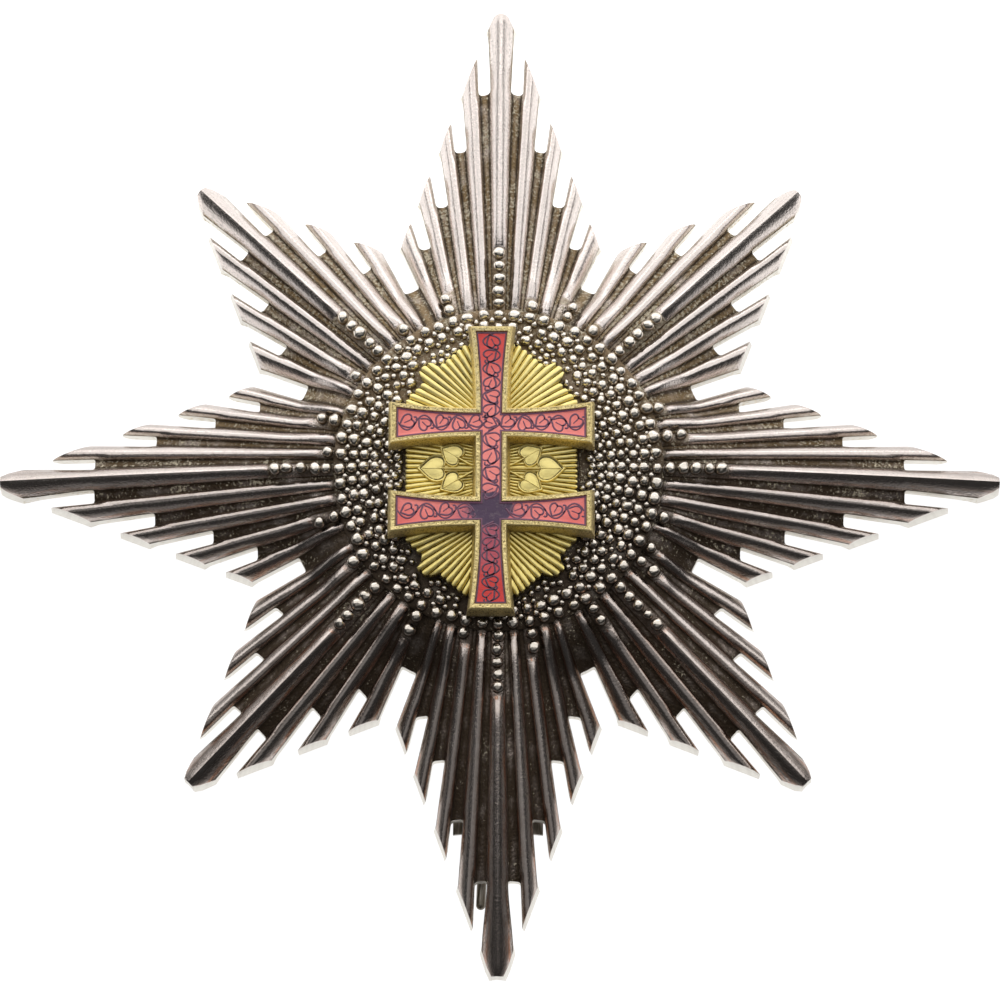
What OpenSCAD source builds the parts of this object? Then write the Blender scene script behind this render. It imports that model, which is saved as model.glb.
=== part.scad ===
// Eight-pointed breast star with roof-shaped arms, a pearled centre, a gilt rayed ground and
// an enamelled double cross. It lies on its back: +Z is the front, +Y the upright arm.

/* [Star] */
// Width over two opposite long arms
star_w = 90; // [80:1:100]
// Depth of the hollow under the middle of the star
dome_h = 6.1; // [5.85:0.05:6.4]
// Height at which the arms' ridges would meet over the middle
roof_h = 7.5; // [7.2:0.1:7.8]
// Thickness of the sheet between the rays, measured upright
web_t = 1.35; // [1.2:0.05:1.45]
// Height of a ray above the sheet at its outer end
ray_h = 0.95; // [0.8:0.05:1.1]
// Height of a ray above the sheet at its inner end
ray_h_in = 0.55; // [0.4:0.05:0.7]
// Width of the slots that part the rays
slot_w = 1.05; // [0.9:0.05:1.1]

/* [Pearled field] */
// Thickness of the collar that the beads stand on
collar_t = 0.35; // [0.3:0.05:0.4]
// Height of a bead's centre above the collar
bead_lift = 0.2; // [0.1:0.05:0.25]

/* [Medallion] */
// How far the medallion sits to the right of the star's centre
medal_x = -0.6; // [-0.7:0.1:0.6]
// How far the medallion sits above the star's centre
medal_y = -0.45; // [-0.6:0.05:0.6]
// Thickness of the gilt ground
ground_t = 0.8; // [0.6:0.1:1]
// Height of the ground's own rays
ground_ray_h = 0.35; // [0.25:0.05:0.45]
// Height of the leaves above the ground
leaf_h = 0.5; // [0.4:0.05:0.6]
// Height of the cross's frame
cross_t = 1.87; // [1.5:0.1:2]
// Width of the frame's rim around the enamel
rim_w = 0.75; // [0.6:0.05:0.8]
// Depth of the cell that holds the enamel
cell_depth = 0.55; // [0.4:0.05:0.7]

/* [Brooch pin] */
// Thickness of the needle
needle_d = 0.85; // [0.7:0.05:0.85]
// Width of the catch
catch_w = 8; // [7:0.5:8]

/* [Hidden] */

// Every plan size below is for a star 90 mm wide, and is scaled by this
k = star_w / 90;
// Clearances: between loose pieces, round the enamel, and under the curved back
gap = 0.03;
cell_gap = 0.03;
seat_gap = 0.16;
eps = 0.01;

// An arm points up its own +Y axis. Its grooves are straight lines, and each row gives a
// groove's x at inner_y, its x at the foot of its slot, and that foot's y.
inner_y = 15;
long_grooves = [
    // x inner, x foot, y foot
    [0.75, 1.48, 36.4],
    [2.05, 3.62, 30.9],
    [3.50, 5.25, 25.6],
    [4.95, 6.75, 21.6]];
short_grooves = [
    [0.80, 1.55, 31.2],
    [2.20, 3.60, 26.4],
    [3.75, 5.30, 22.3]];
// The outer edge of an arm's last ray, in the same columns: its foot is the valley's corner
long_edge = [6.09, 7.25, 17.8];
short_edge = [4.94, 6.07, 18.2];
// An arm: tip radius, half width of its blunt tip, sideways run of its outline per mm
long_tip = [45, 0.66, 0.377];
short_tip = [39, 0.86, 0.442];
// The valleys between the arms, where both edges of the sheet end
valley_turn = 24.2;
centre_ray_in = 20.6;
// Every second ray starts one bead further out
ray_ins = [14.95, 16.05];

function line_x(row, y) = row[0] + (row[1] - row[0]) * (y - inner_y) / (row[2] - inner_y);
function outline_x(tip, y) = tip[1] + tip[2] * (tip[0] - y);
function slope(row) = (row[1] - row[0]) / (row[2] - inner_y);
// Where a groove's line crosses the arm's outline
function cross_y(row, tip) =
    (tip[1] + tip[2] * tip[0] - row[0] + slope(row) * inner_y) / (slope(row) + tip[2]);

function turned(p, a) = [p[0] * cos(a) - p[1] * sin(a), p[0] * sin(a) + p[1] * cos(a)];
function mirrored(p) = [-p[0], p[1]];
function flipped(points) = [for (i = [len(points) - 1:-1:0]) points[i]];

// Half an arm's outline, from the valley's corner out to the tip with its cut corner
function half_arm(edge, tip) = [
    [edge[1], edge[2]],
    [line_x(edge, cross_y(edge, tip)), cross_y(edge, tip)],
    [outline_x(tip, tip[0] - 0.3), tip[0] - 0.3],
    [tip[1] - 0.25, tip[0]]];
function arm_outline(edge, tip) = let (h = half_arm(edge, tip))
    concat(h, [for (p = flipped(h)) mirrored(p)]);
star_outline = [for (i = [0:7], p = i % 2 == 0 ? arm_outline(long_edge, long_tip)
        : arm_outline(short_edge, short_tip)) k * turned(p, 45 * i)];

// The back of an arm is a roof. It rises from the arm's outline to a ridge along its middle,
// and starts a little under the floor, so that the floor cuts a narrow flat all round the rim.
rim_slope = 0.67;
rim_sink = 0.2;
roof_mid = 16.6;
// Towards the middle of the star the roofs run into a round cap
cap_r = 143;
cap_edge = 14.7;
roof_edge = 19.6;
function rim_gap(x, y, tip) = (outline_x(tip, y / k) - abs(x) / k) / norm([1, tip[2]]);
function roof_z(rise) = roof_h * (1 - pow(1 - rise / roof_mid, rim_slope * roof_mid / roof_h)) - rim_sink;
function cap_z(r) = dome_h - cap_r + sqrt(cap_r * cap_r - r * r);
function cap_share(r) = let (t = min(1, max(0, (roof_edge - r / k) / (roof_edge - cap_edge))))
    t * t * (3 - 2 * t);
function under_z(x, y, tip) = let (r = norm([x, y]), share = cap_share(r))
    share * cap_z(r) + (1 - share) * roof_z(rim_gap(x, y, tip));

// The top of a ray's cross-section: place across, from -1 to 1, and height, from 0 to 1
ray_section = [
    // across, height
    [-0.8, 0.72],
    [-0.38, 1],
    [0.38, 1],
    [0.8, 0.72]];
// The middle ray of an arm has a sharp crest
crest_section = [
    // across, height
    [-0.8, 0.7],
    [0, 1],
    [0.8, 0.7]];
// Its flanks run down into the sheet, and outwards a little
ray_root = 0.5;
ray_toe = 0.13;
floor_in = 0.34;

// Half the width of a groove's floor, from the inner end to the slot
function half_floor(y, y_foot) = k * (floor_in + (slot_w - floor_in)
        * min(1, max(0, (y - inner_y) / (y_foot - inner_y)))) / 2;
function ray_height(y, y_out) = ray_h_in + (ray_h - ray_h_in) * (y - inner_y) / (y_out - inner_y);
function lifted(x, y, dz, tip) = [x, y, under_z(x, y, tip) + web_t + dz];

// One section of a ray between its left and right foot at one y
function ray_ring(x_left, x_right, y, h, tip, section) = concat(
    [lifted(x_left - ray_toe, y, -ray_root, tip)],
    [for (s = section) lifted((x_left + x_right + s[0] * (x_right - x_left)) / 2, y, s[1] * h, tip)],
    [lifted(x_right + ray_toe, y, -ray_root, tip)]);

module swept(rings) {
    n = len(rings[0]);
    last = len(rings) - 1;
    polyhedron(
        points = [for (ring = rings, p = ring) p],
        faces = concat(
            [[for (i = [0:n - 1]) i]],
            [for (j = [0:last - 1], i = [0:n - 1])
                [j * n + i, (j + 1) * n + i, (j + 1) * n + (i + 1) % n, j * n + (i + 1) % n]],
            [[for (i = [n - 1:-1:0]) last * n + i]]));
}

// A ray between two grooves, in steps that lengthen outwards
ray_steps = 3;
module ray(left, right, y_in, y_out, tip, section) {
    swept([for (i = [0:ray_steps]) let (y = y_in + (y_out - y_in) * pow(i / ray_steps, 1.6))
        ray_ring(k * line_x(left, y) + half_floor(y, left[2]),
                 k * line_x(right, y) - half_floor(y, right[2]), k * y, ray_height(y, y_out), tip, section)]);
}

module arm_rays(grooves, edge, tip) {
    first = grooves[0];
    ray([-first[0], -first[1], first[2]], first, centre_ray_in, tip[0] + 1, tip, crest_section);
    for (side = [0, 1], i = [0:len(grooves) - 1])
        mirror([side, 0, 0]) {
            outer = i < len(grooves) - 1 ? grooves[i + 1] : edge;
            ray(grooves[i], outer, ray_ins[i % 2], cross_y(grooves[i], tip) + 1, tip, ray_section);
        }
}

// A slot: square at its foot with small round corners, and open past the outline
module slot(row, tip, flare) {
    y_out = cross_y(row, tip) + 2;
    corner_r = 0.22;
    half = slot_w / 2 - corner_r;
    tilt = atan(slope(row));
    linear_extrude(dome_h + 4)
        hull()
            for (end = [[k * row[1], k * (row[2] + corner_r), half],
                        [k * line_x(row, y_out), k * y_out, half * flare]], s = [-1, 1])
                translate([end[0] + s * end[2] * cos(tilt), end[1] - s * end[2] * sin(tilt)])
                    circle(r = corner_r, $fn = 8);
}

module arm_slots(grooves, tip) {
    for (i = [0:len(grooves) - 1], side = [0, 1])
        mirror([side, 0, 0])
            slot(grooves[i], tip, i == 0 ? 1 : 1.4);
}

// The sheet: rings of points round the middle, with points on every ridge and valley
sheet_rings = [7, cap_edge, 17, roof_edge, 27, 36, 47];
quarter_turns = [0, 8, 16, valley_turn, 34.5, 45, 55.5, 90 - valley_turn, 74, 82];
sheet_turns = [for (i = [0:3], a = quarter_turns) a + 90 * i];
function sheet_point(r, a, dz) =
    let (b = a % 90, long = b <= valley_turn || b >= 90 - valley_turn,
        c = long ? (b > 45 ? b - 90 : b) : b - 45,
        z = under_z(-r * sin(c), r * cos(c), long ? long_tip : short_tip))
    [-r * sin(a), r * cos(a), z + dz];

module sheet() {
    n = len(sheet_turns);
    last = len(sheet_rings) - 1;
    face = (last + 1) * n;
    polyhedron(
        points = concat(
            [for (dz = [0, web_t], r = sheet_rings, a = sheet_turns) sheet_point(k * r, a, dz)],
            [[0, 0, dome_h], [0, 0, dome_h + web_t]]),
        faces = concat(
            [for (i = [0:n - 1]) [2 * face, i, (i + 1) % n]],
            [for (i = [0:n - 1]) [2 * face + 1, face + (i + 1) % n, face + i]],
            [for (j = [0:last - 1], i = [0:n - 1], half = [0, 1])
                let (a = j * n + i, b = j * n + (i + 1) % n, c = b + n, d = a + n)
                half == 0 ? [a, c, b] : [a, d, c]],
            [for (j = [0:last - 1], i = [0:n - 1], half = [0, 1])
                let (a = face + j * n + i, b = face + j * n + (i + 1) % n, c = b + n, d = a + n)
                half == 0 ? [a, b, c] : [a, c, d]],
            [for (i = [0:n - 1], half = [0, 1])
                let (a = last * n + i, b = last * n + (i + 1) % n, c = b + face, d = a + face)
                half == 0 ? [a, d, c] : [a, c, b]]));
}

module star() color("silver") {
    difference() {
        intersection() {
            linear_extrude(dome_h + 4)
                polygon(star_outline);
            union() {
                sheet();
                for (i = [0:3]) {
                    rotate(90 * i) arm_rays(long_grooves, long_edge, long_tip);
                    rotate(90 * i + 45) arm_rays(short_grooves, short_edge, short_tip);
                }
            }
        }
        for (i = [0:3]) {
            rotate(90 * i) arm_slots(long_grooves, long_tip);
            rotate(90 * i + 45) arm_slots(short_grooves, short_tip);
        }
    }
}

// The pearled field: rows of beads run in from the rays, smaller towards the middle
bead_rows = 64;
bead_rings = [
    // radius, bead diameter
    [8.25, 0.74],
    [9.10, 0.82],
    [10.0, 0.88],
    [10.96, 0.94],
    [11.98, 1.00],
    [13.05, 1.06],
    [14.15, 1.10]];
// Every second row has one more bead, where its ray starts further out
extra_bead = [15.3, 1.10];
// The rows of the eight middle rays go on outwards along the ridges, with beads of one size
tongue_rings = [15.3, 16.45, 17.6, 18.75, 19.9];
tongue_bead_d = 1.1;
tongue_w = 1.15;
collar_in = 7.25;
collar_out = 14.75;
tab_out = 15.85;
// The collar is part of a sphere that lies on the cap's own
cap_centre = dome_h + web_t - cap_r;
collar_base = cap_r + gap;
collar_top = collar_base + collar_t;

// A corner and side of the ground's outline, measured from the medallion's centre
ground_corner = [
    // x, y
    [7.70, 0],
    [7.70, 6.4],
    [6.15, 8.0],
    [6.60, 9.1],
    [5.75, 9.85],
    [4.70, 9.55],
    [3.05, 11.0],
    [2.40, 11.5],
    [0, 12.0]];
ground_last = len(ground_corner) - 1;

// True where a bead of this radius would meet the ground
function meets_ground(x, y, r) =
    let (dx = (abs(x - medal_x) - r) / k, dy = (abs(y - medal_y) - r) / k,
        side = ground_corner[1], notch = ground_corner[2], tooth = ground_corner[3],
        ear = ground_corner[4], top = ground_corner[ground_last - 1],
        ear_y = top[1] - (top[1] - ear[1]) * (dx - top[0]) / (ear[0] - top[0]))
    (dx < side[0] && dy < side[1])
    || (dx < side[0] && dy < notch[1] && dx + dy < notch[0] + notch[1])
    || (dx < tooth[0] && dy < ear[1] && dx + dy < tooth[0] + tooth[1])
    || (dx < ear[0] && dy < max(ear[1], min(ear_y, top[1])));

module row_bead(r, a, d) {
    translate([-r * sin(a), r * cos(a), cap_centre + sqrt(pow(collar_top + bead_lift, 2) - r * r)])
        sphere(d = d, $fn = 16);
}

function ridge_z(y, tip) = under_z(0, k * y, tip) + web_t + gap;

// A bar along an arm's ridge and the beads on it
module tongue(tip) {
    ys = [13.8, cap_edge, 17, roof_edge, tongue_rings[4] + 0.5];
    inset = 0.04;
    translate([-k * tongue_w / 2, 0, 0])
        rotate([90, 0, 90])
            linear_extrude(k * tongue_w)
                polygon(concat(
                    [for (y = ys) [k * y, ridge_z(y, tip) + inset]],
                    [for (y = flipped(ys)) [k * y, ridge_z(y, tip) + collar_t - inset]]));
    for (y = tongue_rings)
        translate([0, k * y, ridge_z(y, tip) + collar_t + bead_lift])
            sphere(d = k * tongue_bead_d, $fn = 16);
}

module collar_plan() {
    difference() {
        circle(r = k * collar_out, $fn = 96);
        circle(r = k * collar_in, $fn = 96);
    }
    for (i = [0:bead_rows / 2 - 1])
        if (i % 4 != 0)
            rotate(720 * i / bead_rows)
                translate([-k / 2, k * (collar_out - 1)])
                    square([k, k * (tab_out - collar_out + 1)]);
}

module bead_field() color("gainsboro") {
    intersection() {
        translate([0, 0, cap_centre])
            difference() {
                sphere(r = collar_top, $fn = 360);
                sphere(r = collar_base, $fn = 360);
            }
        linear_extrude(dome_h + 4)
            collar_plan();
    }
    for (i = [0:bead_rows - 1], ring = i % 2 == 0 && i % 8 != 0 ? concat(bead_rings, [extra_bead])
            : bead_rings) {
        a = 360 * i / bead_rows;
        r = k * ring[0];
        d = k * ring[1];
        if (!meets_ground(-r * sin(a), r * cos(a), d / 2 + 0.06)) row_bead(r, a, d);
    }
    for (i = [0:3]) {
        rotate(90 * i) tongue(long_tip);
        rotate(90 * i + 45) tongue(short_tip);
    }
}

// The medallion stands on a boss in the middle of the collar
boss_z = dome_h + web_t + gap;
boss_r = 6.3;
ground_z = boss_z + 0.33;
ground_top = ground_z + ground_t;
cross_z = ground_top + gap;
upper_bar_y = 3.85;
lower_bar_y = -4.2;

// Half widths of the enamel: a bar is narrow where the bars cross and flares to its ends
upright_half = 0.93;
upright_end_half = 1.4;
top_end_y = 12.2;
foot_end_y = 12.6;
side_half = 0.84;
side_end_half = 1.4;
side_end_x = 8.42;
flare_steps = 6;

function flare(u, narrow, wide) = narrow + (wide - narrow) * u * u;
// One side of a bar, out from the corner where two bars meet: length along, half width
function bar_side(from, to, narrow, wide, b) = [for (i = [0:flare_steps])
    let (u = i / flare_steps) [from + (to - from) * u, flare(u, narrow, wide) + b]];

// The right half of the double cross from its foot to its top, grown by a border
function cross_half(b) =
    let (upright = function(bar_y, end_y) bar_side(abs(bar_y) + side_half + b, end_y + b,
            upright_half, upright_end_half, b),
        side = bar_side(upright_half + b, side_end_x + b, side_half, side_end_half, b),
        up = upright(upper_bar_y, top_end_y),
        down = upright(lower_bar_y, foot_end_y),
        bar = function(y) concat([for (p = side) [p[0], y - p[1]]],
            [for (p = flipped(side)) [p[0], y + p[1]]]))
    concat([for (p = flipped(down)) if (p != down[0]) [p[1], -p[0]]],
        bar(lower_bar_y), bar(upper_bar_y),
        [for (p = up) if (p != up[0]) [p[1], p[0]]]);
module cross_plan(b) {
    right = cross_half(b);
    polygon(k * concat(right, [for (p = flipped(right)) mirrored(p)]));
}

module at_medallion() {
    translate([medal_x, medal_y, 0])
        children();
}

// The ground's plan, shrunk by an inset so that its rays end just inside the edge
module ground_plan(inset = 0) {
    right = concat(flipped([for (i = [1:ground_last]) ground_corner[i]]), [ground_corner[0]],
        [for (i = [1:ground_last]) [ground_corner[i][0], -ground_corner[i][1]]]);
    scale(1 - inset / ground_corner[1][0])
        polygon(k * concat(right, [for (i = [len(right) - 2:-1:1]) mirrored(right[i])]));
}

// A ridge of triangular section that widens outwards from a fan's centre
module ground_ray(a, r_in, r_out, turn) {
    w_in = r_in * sin(turn) * 0.42;
    w_out = r_out * sin(turn) * 0.42;
    z0 = ground_top - 0.1;
    z1 = ground_top + ground_ray_h;
    rotate(a)
        swept([
            [[r_in, w_in, z0], [r_in, 0, z1], [r_in, -w_in, z0]],
            [[r_out, w_out, z0], [r_out, 0, z1], [r_out, -w_out, z0]]]);
}

corner_rays = 13;
// Between the bars the ridges are nearly level, and would meet far behind the upright
window_rays = 24;
window_fan = 51;
window_back = 5.2;
module ground_rays() {
    corner_turn = 90 / corner_rays;
    window_turn = window_fan / window_rays;
    for (s = [1, -1])
        mirror([0, s < 0 ? 1 : 0, 0])
            translate([0, k * (s > 0 ? upper_bar_y : -lower_bar_y)])
                for (i = [0:2 * corner_rays - 1])
                    ground_ray(corner_turn * (i + 0.5), k * 1.6, k * 11, corner_turn);
    for (side = [0, 180], i = [0:window_rays - 1])
        rotate(side)
            translate([-k * window_back, 0, 0])
                ground_ray(window_turn * (i + 0.5) - window_fan / 2,
                    k * (window_back + 1.2), k * (window_back + 9), window_turn);
}

// A heart-shaped leaf along +X from its stalk, with a raised rib
module leaf(length) {
    steps = 7;
    half = [for (i = [0:steps]) let (t = 180 * i / steps)
        [length * (0.5 - 0.5 * cos(t)) - length * 0.12 * sin(t) * cos(t / 2),
         length * 0.62 * sin(t) * cos(t / 2.6)]];
    linear_extrude(leaf_h)
        polygon(concat(half, [for (i = [steps - 1:-1:1]) [half[i][0], -half[i][1]]]));
    rib(length * 0.1, length * 0.8, leaf_h + 0.08);
}

module rib(from, to, h) {
    hull() {
        translate([from, 0, 0]) cylinder(r = 0.12, h = h, $fn = 6);
        translate([to, 0, 0]) cylinder(r = 0.08, h = h, $fn = 6);
    }
}

leaves = [
    // x, y, turn, length
    [4.30, 0.05, 0, 2.2],
    [3.05, 0.85, 38, 1.7],
    [3.05, -0.85, -38, 1.7]];
module sprig() {
    translate([0, 0, ground_top - 0.05]) {
        translate([k * 1.75, 0, 0])
            rib(0, k * 2.4, leaf_h - 0.05);
        for (row = leaves) {
            translate([k * row[0], k * row[1], 0])
                rotate(row[2])
                    leaf(k * row[3]);
        }
    }
}

module gilt_ground() color("goldenrod") at_medallion() {
    translate([0, 0, boss_z])
        cylinder(r = k * boss_r, h = ground_z - boss_z + eps, $fn = 48);
    translate([0, 0, ground_z])
        linear_extrude(ground_t)
            ground_plan();
    difference() {
        intersection() {
            union() {
                ground_rays();
                sprig();
                mirror([1, 0, 0]) sprig();
            }
            linear_extrude(ground_top + 2)
                ground_plan(0.07);
        }
        translate([0, 0, ground_top])
            linear_extrude(2)
                cross_plan(rim_w + 0.07);
    }
}

module cross_frame() color("gold") at_medallion() {
    translate([0, 0, cross_z])
        difference() {
            linear_extrude(cross_t)
                cross_plan(rim_w);
            translate([0, 0, cross_t - cell_depth])
                linear_extrude(cell_depth + 1)
                    cross_plan(0);
        }
}

module cross_enamel() color("firebrick") at_medallion() {
    translate([0, 0, cross_z + cross_t - cell_depth + cell_gap])
        linear_extrude(cell_depth - cell_gap - 0.04)
            cross_plan(-cell_gap);
}

// The brooch pin behind the star: a hinge block, a needle held in a catch, and the tip that
// shows through a slot of the lower arm
hinge_y = 29;
hinge_block = [6, 4];
hinge_low = 0.7;
hinge_barrel = [5, 0.7];
hinge_z = 0.9;
needle_from = [0.9, hinge_y, hinge_z];
needle_to = [-1.5, -38.2, 0.53];
catch_y = -31.2;
catch_depth = 1.4;
catch_t = 0.75;
// The catch's lug hangs down to the needle
lug_x = [-2.1, -0.5];
lug_low = 0.15;

// The back's height at an upright or lower arm, less the gap that a seated piece keeps
function seat_z(x, y) = under_z(x, y, long_tip) - seat_gap;
function seat_line(xs, y) = [for (x = xs) [x, seat_z(x, y)]];

// A profile seen along the arm, drawn out over a depth round y
module along_arm(y, depth) {
    translate([0, y + depth / 2, 0])
        rotate([90, 0, 0])
            linear_extrude(depth)
                children();
}

module hinge() {
    half = k * hinge_block[0] / 2;
    far = k * (hinge_y + hinge_block[1] / 2);
    along_arm(k * hinge_y, k * hinge_block[1])
        polygon(concat([[-half, hinge_low], [half, hinge_low]], seat_line([half, 0, -half], far)));
    translate([-k * hinge_barrel[0] / 2, k * hinge_y, hinge_z])
        rotate([0, 90, 0])
            cylinder(r = hinge_barrel[1], h = k * hinge_barrel[0], $fn = 32);
}

module catch() {
    half = catch_w / 2;
    far = -k * catch_y + catch_depth / 2;
    along_arm(k * catch_y, catch_depth) {
        polygon(concat(seat_line([-half, 0, half], far),
            [for (p = seat_line([half, 0, -half], far)) [p[0], max(lug_low, p[1] - catch_t)]]));
        polygon(concat([[lug_x[0], lug_low], [lug_x[1], lug_low]],
            [for (p = seat_line([lug_x[1], lug_x[0]], far)) [p[0], p[1] - catch_t / 2]]));
    }
}

module needle() {
    from = [k * needle_from[0], k * needle_from[1], needle_from[2]];
    to = [k * needle_to[0], k * needle_to[1], needle_to[2]];
    run = to - from;
    translate(from)
        rotate([0, acos(run[2] / norm(run)), atan2(run[1], run[0])]) {
            cylinder(d = needle_d, h = norm(run), $fn = 24);
            translate([0, 0, norm(run)])
                sphere(d = needle_d, $fn = 24);
        }
}

module brooch_pin() color("darkgray") {
    hinge();
    catch();
    needle();
}

star();
bead_field();
gilt_ground();
cross_frame();
cross_enamel();
brooch_pin();
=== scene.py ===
"""The looks of an eight-pointed breast star with an enamelled double cross.

The star lies on its back on a pale floor, front up (+Z), its upright arm along +Y. Lengths are in
millimetres, as in the solids, until a mesh is made, and meshes are in metres.
"""

import logging
import math
from collections.abc import Callable, Sequence
from dataclasses import dataclass, field, replace
from enum import Enum

import bmesh
import bpy
import numpy as np
from mathutils import Matrix, Vector


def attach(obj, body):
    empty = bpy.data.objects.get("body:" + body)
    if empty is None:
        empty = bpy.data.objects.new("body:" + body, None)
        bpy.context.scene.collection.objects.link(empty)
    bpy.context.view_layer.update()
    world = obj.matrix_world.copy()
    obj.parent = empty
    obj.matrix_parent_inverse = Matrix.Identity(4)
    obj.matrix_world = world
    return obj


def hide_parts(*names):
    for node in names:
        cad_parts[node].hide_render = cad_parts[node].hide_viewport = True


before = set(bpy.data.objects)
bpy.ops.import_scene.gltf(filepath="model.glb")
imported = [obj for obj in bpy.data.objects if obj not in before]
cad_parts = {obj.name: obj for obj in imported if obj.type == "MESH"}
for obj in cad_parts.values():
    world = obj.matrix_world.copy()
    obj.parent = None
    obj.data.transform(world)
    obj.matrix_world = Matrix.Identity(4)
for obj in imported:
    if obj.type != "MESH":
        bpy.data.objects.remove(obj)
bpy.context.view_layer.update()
MM = 0.001
LOG = logging.getLogger("breast_star")

Colour = tuple[float, float, float]
Plan = tuple[float, float]
Spot = tuple[float, float, float]
Bead = tuple[float, float, float, float]
Line = Callable[[np.ndarray], np.ndarray]
Surface = Callable[[np.ndarray, np.ndarray], np.ndarray]

RAYS = 64
ROOT_Y = 15.0  # where a groove's inner x is given
FOOT_ROWS = 14  # rows of points on a ray up to its slot's foot
SLIVER = 1e-7  # a face under this many square mm is left out
TINY = 1e-9  # a length or a slope under this counts as nothing


class Side(Enum):
    """Which way a foot line lies from its groove."""

    LEFT = -1
    RIGHT = 1


@dataclass
class Graph:
    """A node tree with short ways to add the nodes that the finishes use.

    Args:
        tree: The node tree of a material or of a node group.
    """

    tree: bpy.types.NodeTree

    def node(self, kind: str, **settings: object) -> bpy.types.Node:
        """Adds a node.

        Args:
            kind: The node's type name.
            settings: Properties to set on it.

        Returns:
            The new node.
        """
        made = self.tree.nodes.new(kind)
        for name, value in settings.items():
            setattr(made, name, value)
        return made

    def feed(self, socket: bpy.types.NodeSocket, value: object) -> None:
        """Links a socket to another one, or sets its default.

        Args:
            socket: The input socket.
            value: An output socket, a number, or a colour or vector.
        """
        if isinstance(value, bpy.types.NodeSocket):
            self.tree.links.new(value, socket)
        elif value is not None:
            socket.default_value = value

    def maths(self, operation: str, *values: object, clamp: bool = False) -> bpy.types.NodeSocket:
        """Adds a Math node.

        Args:
            operation: The Math node's operation.
            values: Its inputs, in order.
            clamp: Whether the result is kept from 0 to 1.

        Returns:
            The result's socket.
        """
        made = self.node("ShaderNodeMath", operation=operation, use_clamp=clamp)
        for socket, value in zip(made.inputs, values):
            self.feed(socket, value)
        return made.outputs[0]

    def times(self, first: object, second: object, clamp: bool = False) -> bpy.types.NodeSocket:
        """Multiplies two values."""
        return self.maths("MULTIPLY", first, second, clamp=clamp)

    def vector(self, operation: str, first: object, second: object = None) -> bpy.types.NodeSocket:
        """Adds a Vector Math node.

        Args:
            operation: The node's operation.
            first: Its first vector.
            second: Its second vector, or its factor where it scales.

        Returns:
            The result's socket.
        """
        made = self.node("ShaderNodeVectorMath", operation=operation)
        self.feed(made.inputs[0], first)
        self.feed(made.inputs["Scale"] if operation == "SCALE" else made.inputs[1], second)
        return made.outputs["Value" if operation == "LENGTH" else "Vector"]

    def place(self) -> bpy.types.NodeSocket:
        """The point's own coordinates on the object, in metres."""
        return self.node("ShaderNodeTexCoord").outputs["Object"]

    def height_up(self, place: object) -> bpy.types.NodeSocket:
        """Takes the Y out of coordinates, which is how far up the star a point lies.

        Args:
            place: The coordinates' socket, in metres.

        Returns:
            The Y's socket.
        """
        apart = self.node("ShaderNodeSeparateXYZ")
        self.feed(apart.inputs[0], place)
        return apart.outputs["Y"]

    def ramp(
        self, value: object, low: float, high: float, to_low: float = 0.0, to_high: float = 1.0
    ) -> bpy.types.NodeSocket:
        """Maps a range smoothly to another, clamped.

        Args:
            value: The input.
            low: Where the input's range starts.
            high: Where it ends.
            to_low: What low becomes.
            to_high: What high becomes.

        Returns:
            The result's socket.
        """
        made = self.node("ShaderNodeMapRange", interpolation_type="SMOOTHSTEP")
        names = ("Value", "From Min", "From Max", "To Min", "To Max")
        for name, part in zip(names, (value, low, high, to_low, to_high)):
            self.feed(made.inputs[name], part)
        return made.outputs["Result"]

    def blend(self, share: object, first: object, second: object) -> bpy.types.NodeSocket:
        """Mixes two colours.

        Args:
            share: How much of the second colour.
            first: The first colour.
            second: The second colour.

        Returns:
            The mixed colour's socket.
        """
        made = self.node("ShaderNodeMix", data_type="RGBA", blend_type="MIX")
        self.feed(made.inputs[0], share)
        for socket, colour in ((made.inputs[6], first), (made.inputs[7], second)):
            self.feed(socket, (*colour, 1) if isinstance(colour, tuple) else colour)
        return made.outputs[2]

    def noise(
        self, vector: object, scale: object, detail: float = 3.0, rough: float = 0.5
    ) -> bpy.types.NodeSocket:
        """Adds fractal noise.

        Args:
            vector: Its coordinates.
            scale: Its scale.
            detail: Its octaves.
            rough: How strong the fine octaves are.

        Returns:
            The noise value's socket.
        """
        made = self.node("ShaderNodeTexNoise")
        for name, value in (("Vector", vector), ("Scale", scale), ("Detail", detail), ("Roughness", rough)):
            self.feed(made.inputs[name], value)
        return made.outputs[0]

    def bump(self, height: object, distance: float) -> bpy.types.NodeSocket:
        """Adds a Bump node.

        Args:
            height: The height's socket.
            distance: How many metres a height of 1 is.

        Returns:
            The normal's socket.
        """
        made = self.node("ShaderNodeBump")
        made.inputs["Distance"].default_value = distance
        self.feed(made.inputs["Height"], height)
        return made.outputs["Normal"]


def new_material(name: str) -> tuple[bpy.types.Material, Graph, bpy.types.Node]:
    """Starts a material.

    Args:
        name: Its name.

    Returns:
        The material, its graph and its shader.
    """
    made = bpy.data.materials.new(name)
    made.use_nodes = True
    return made, Graph(made.node_tree), made.node_tree.nodes["Principled BSDF"]


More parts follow.
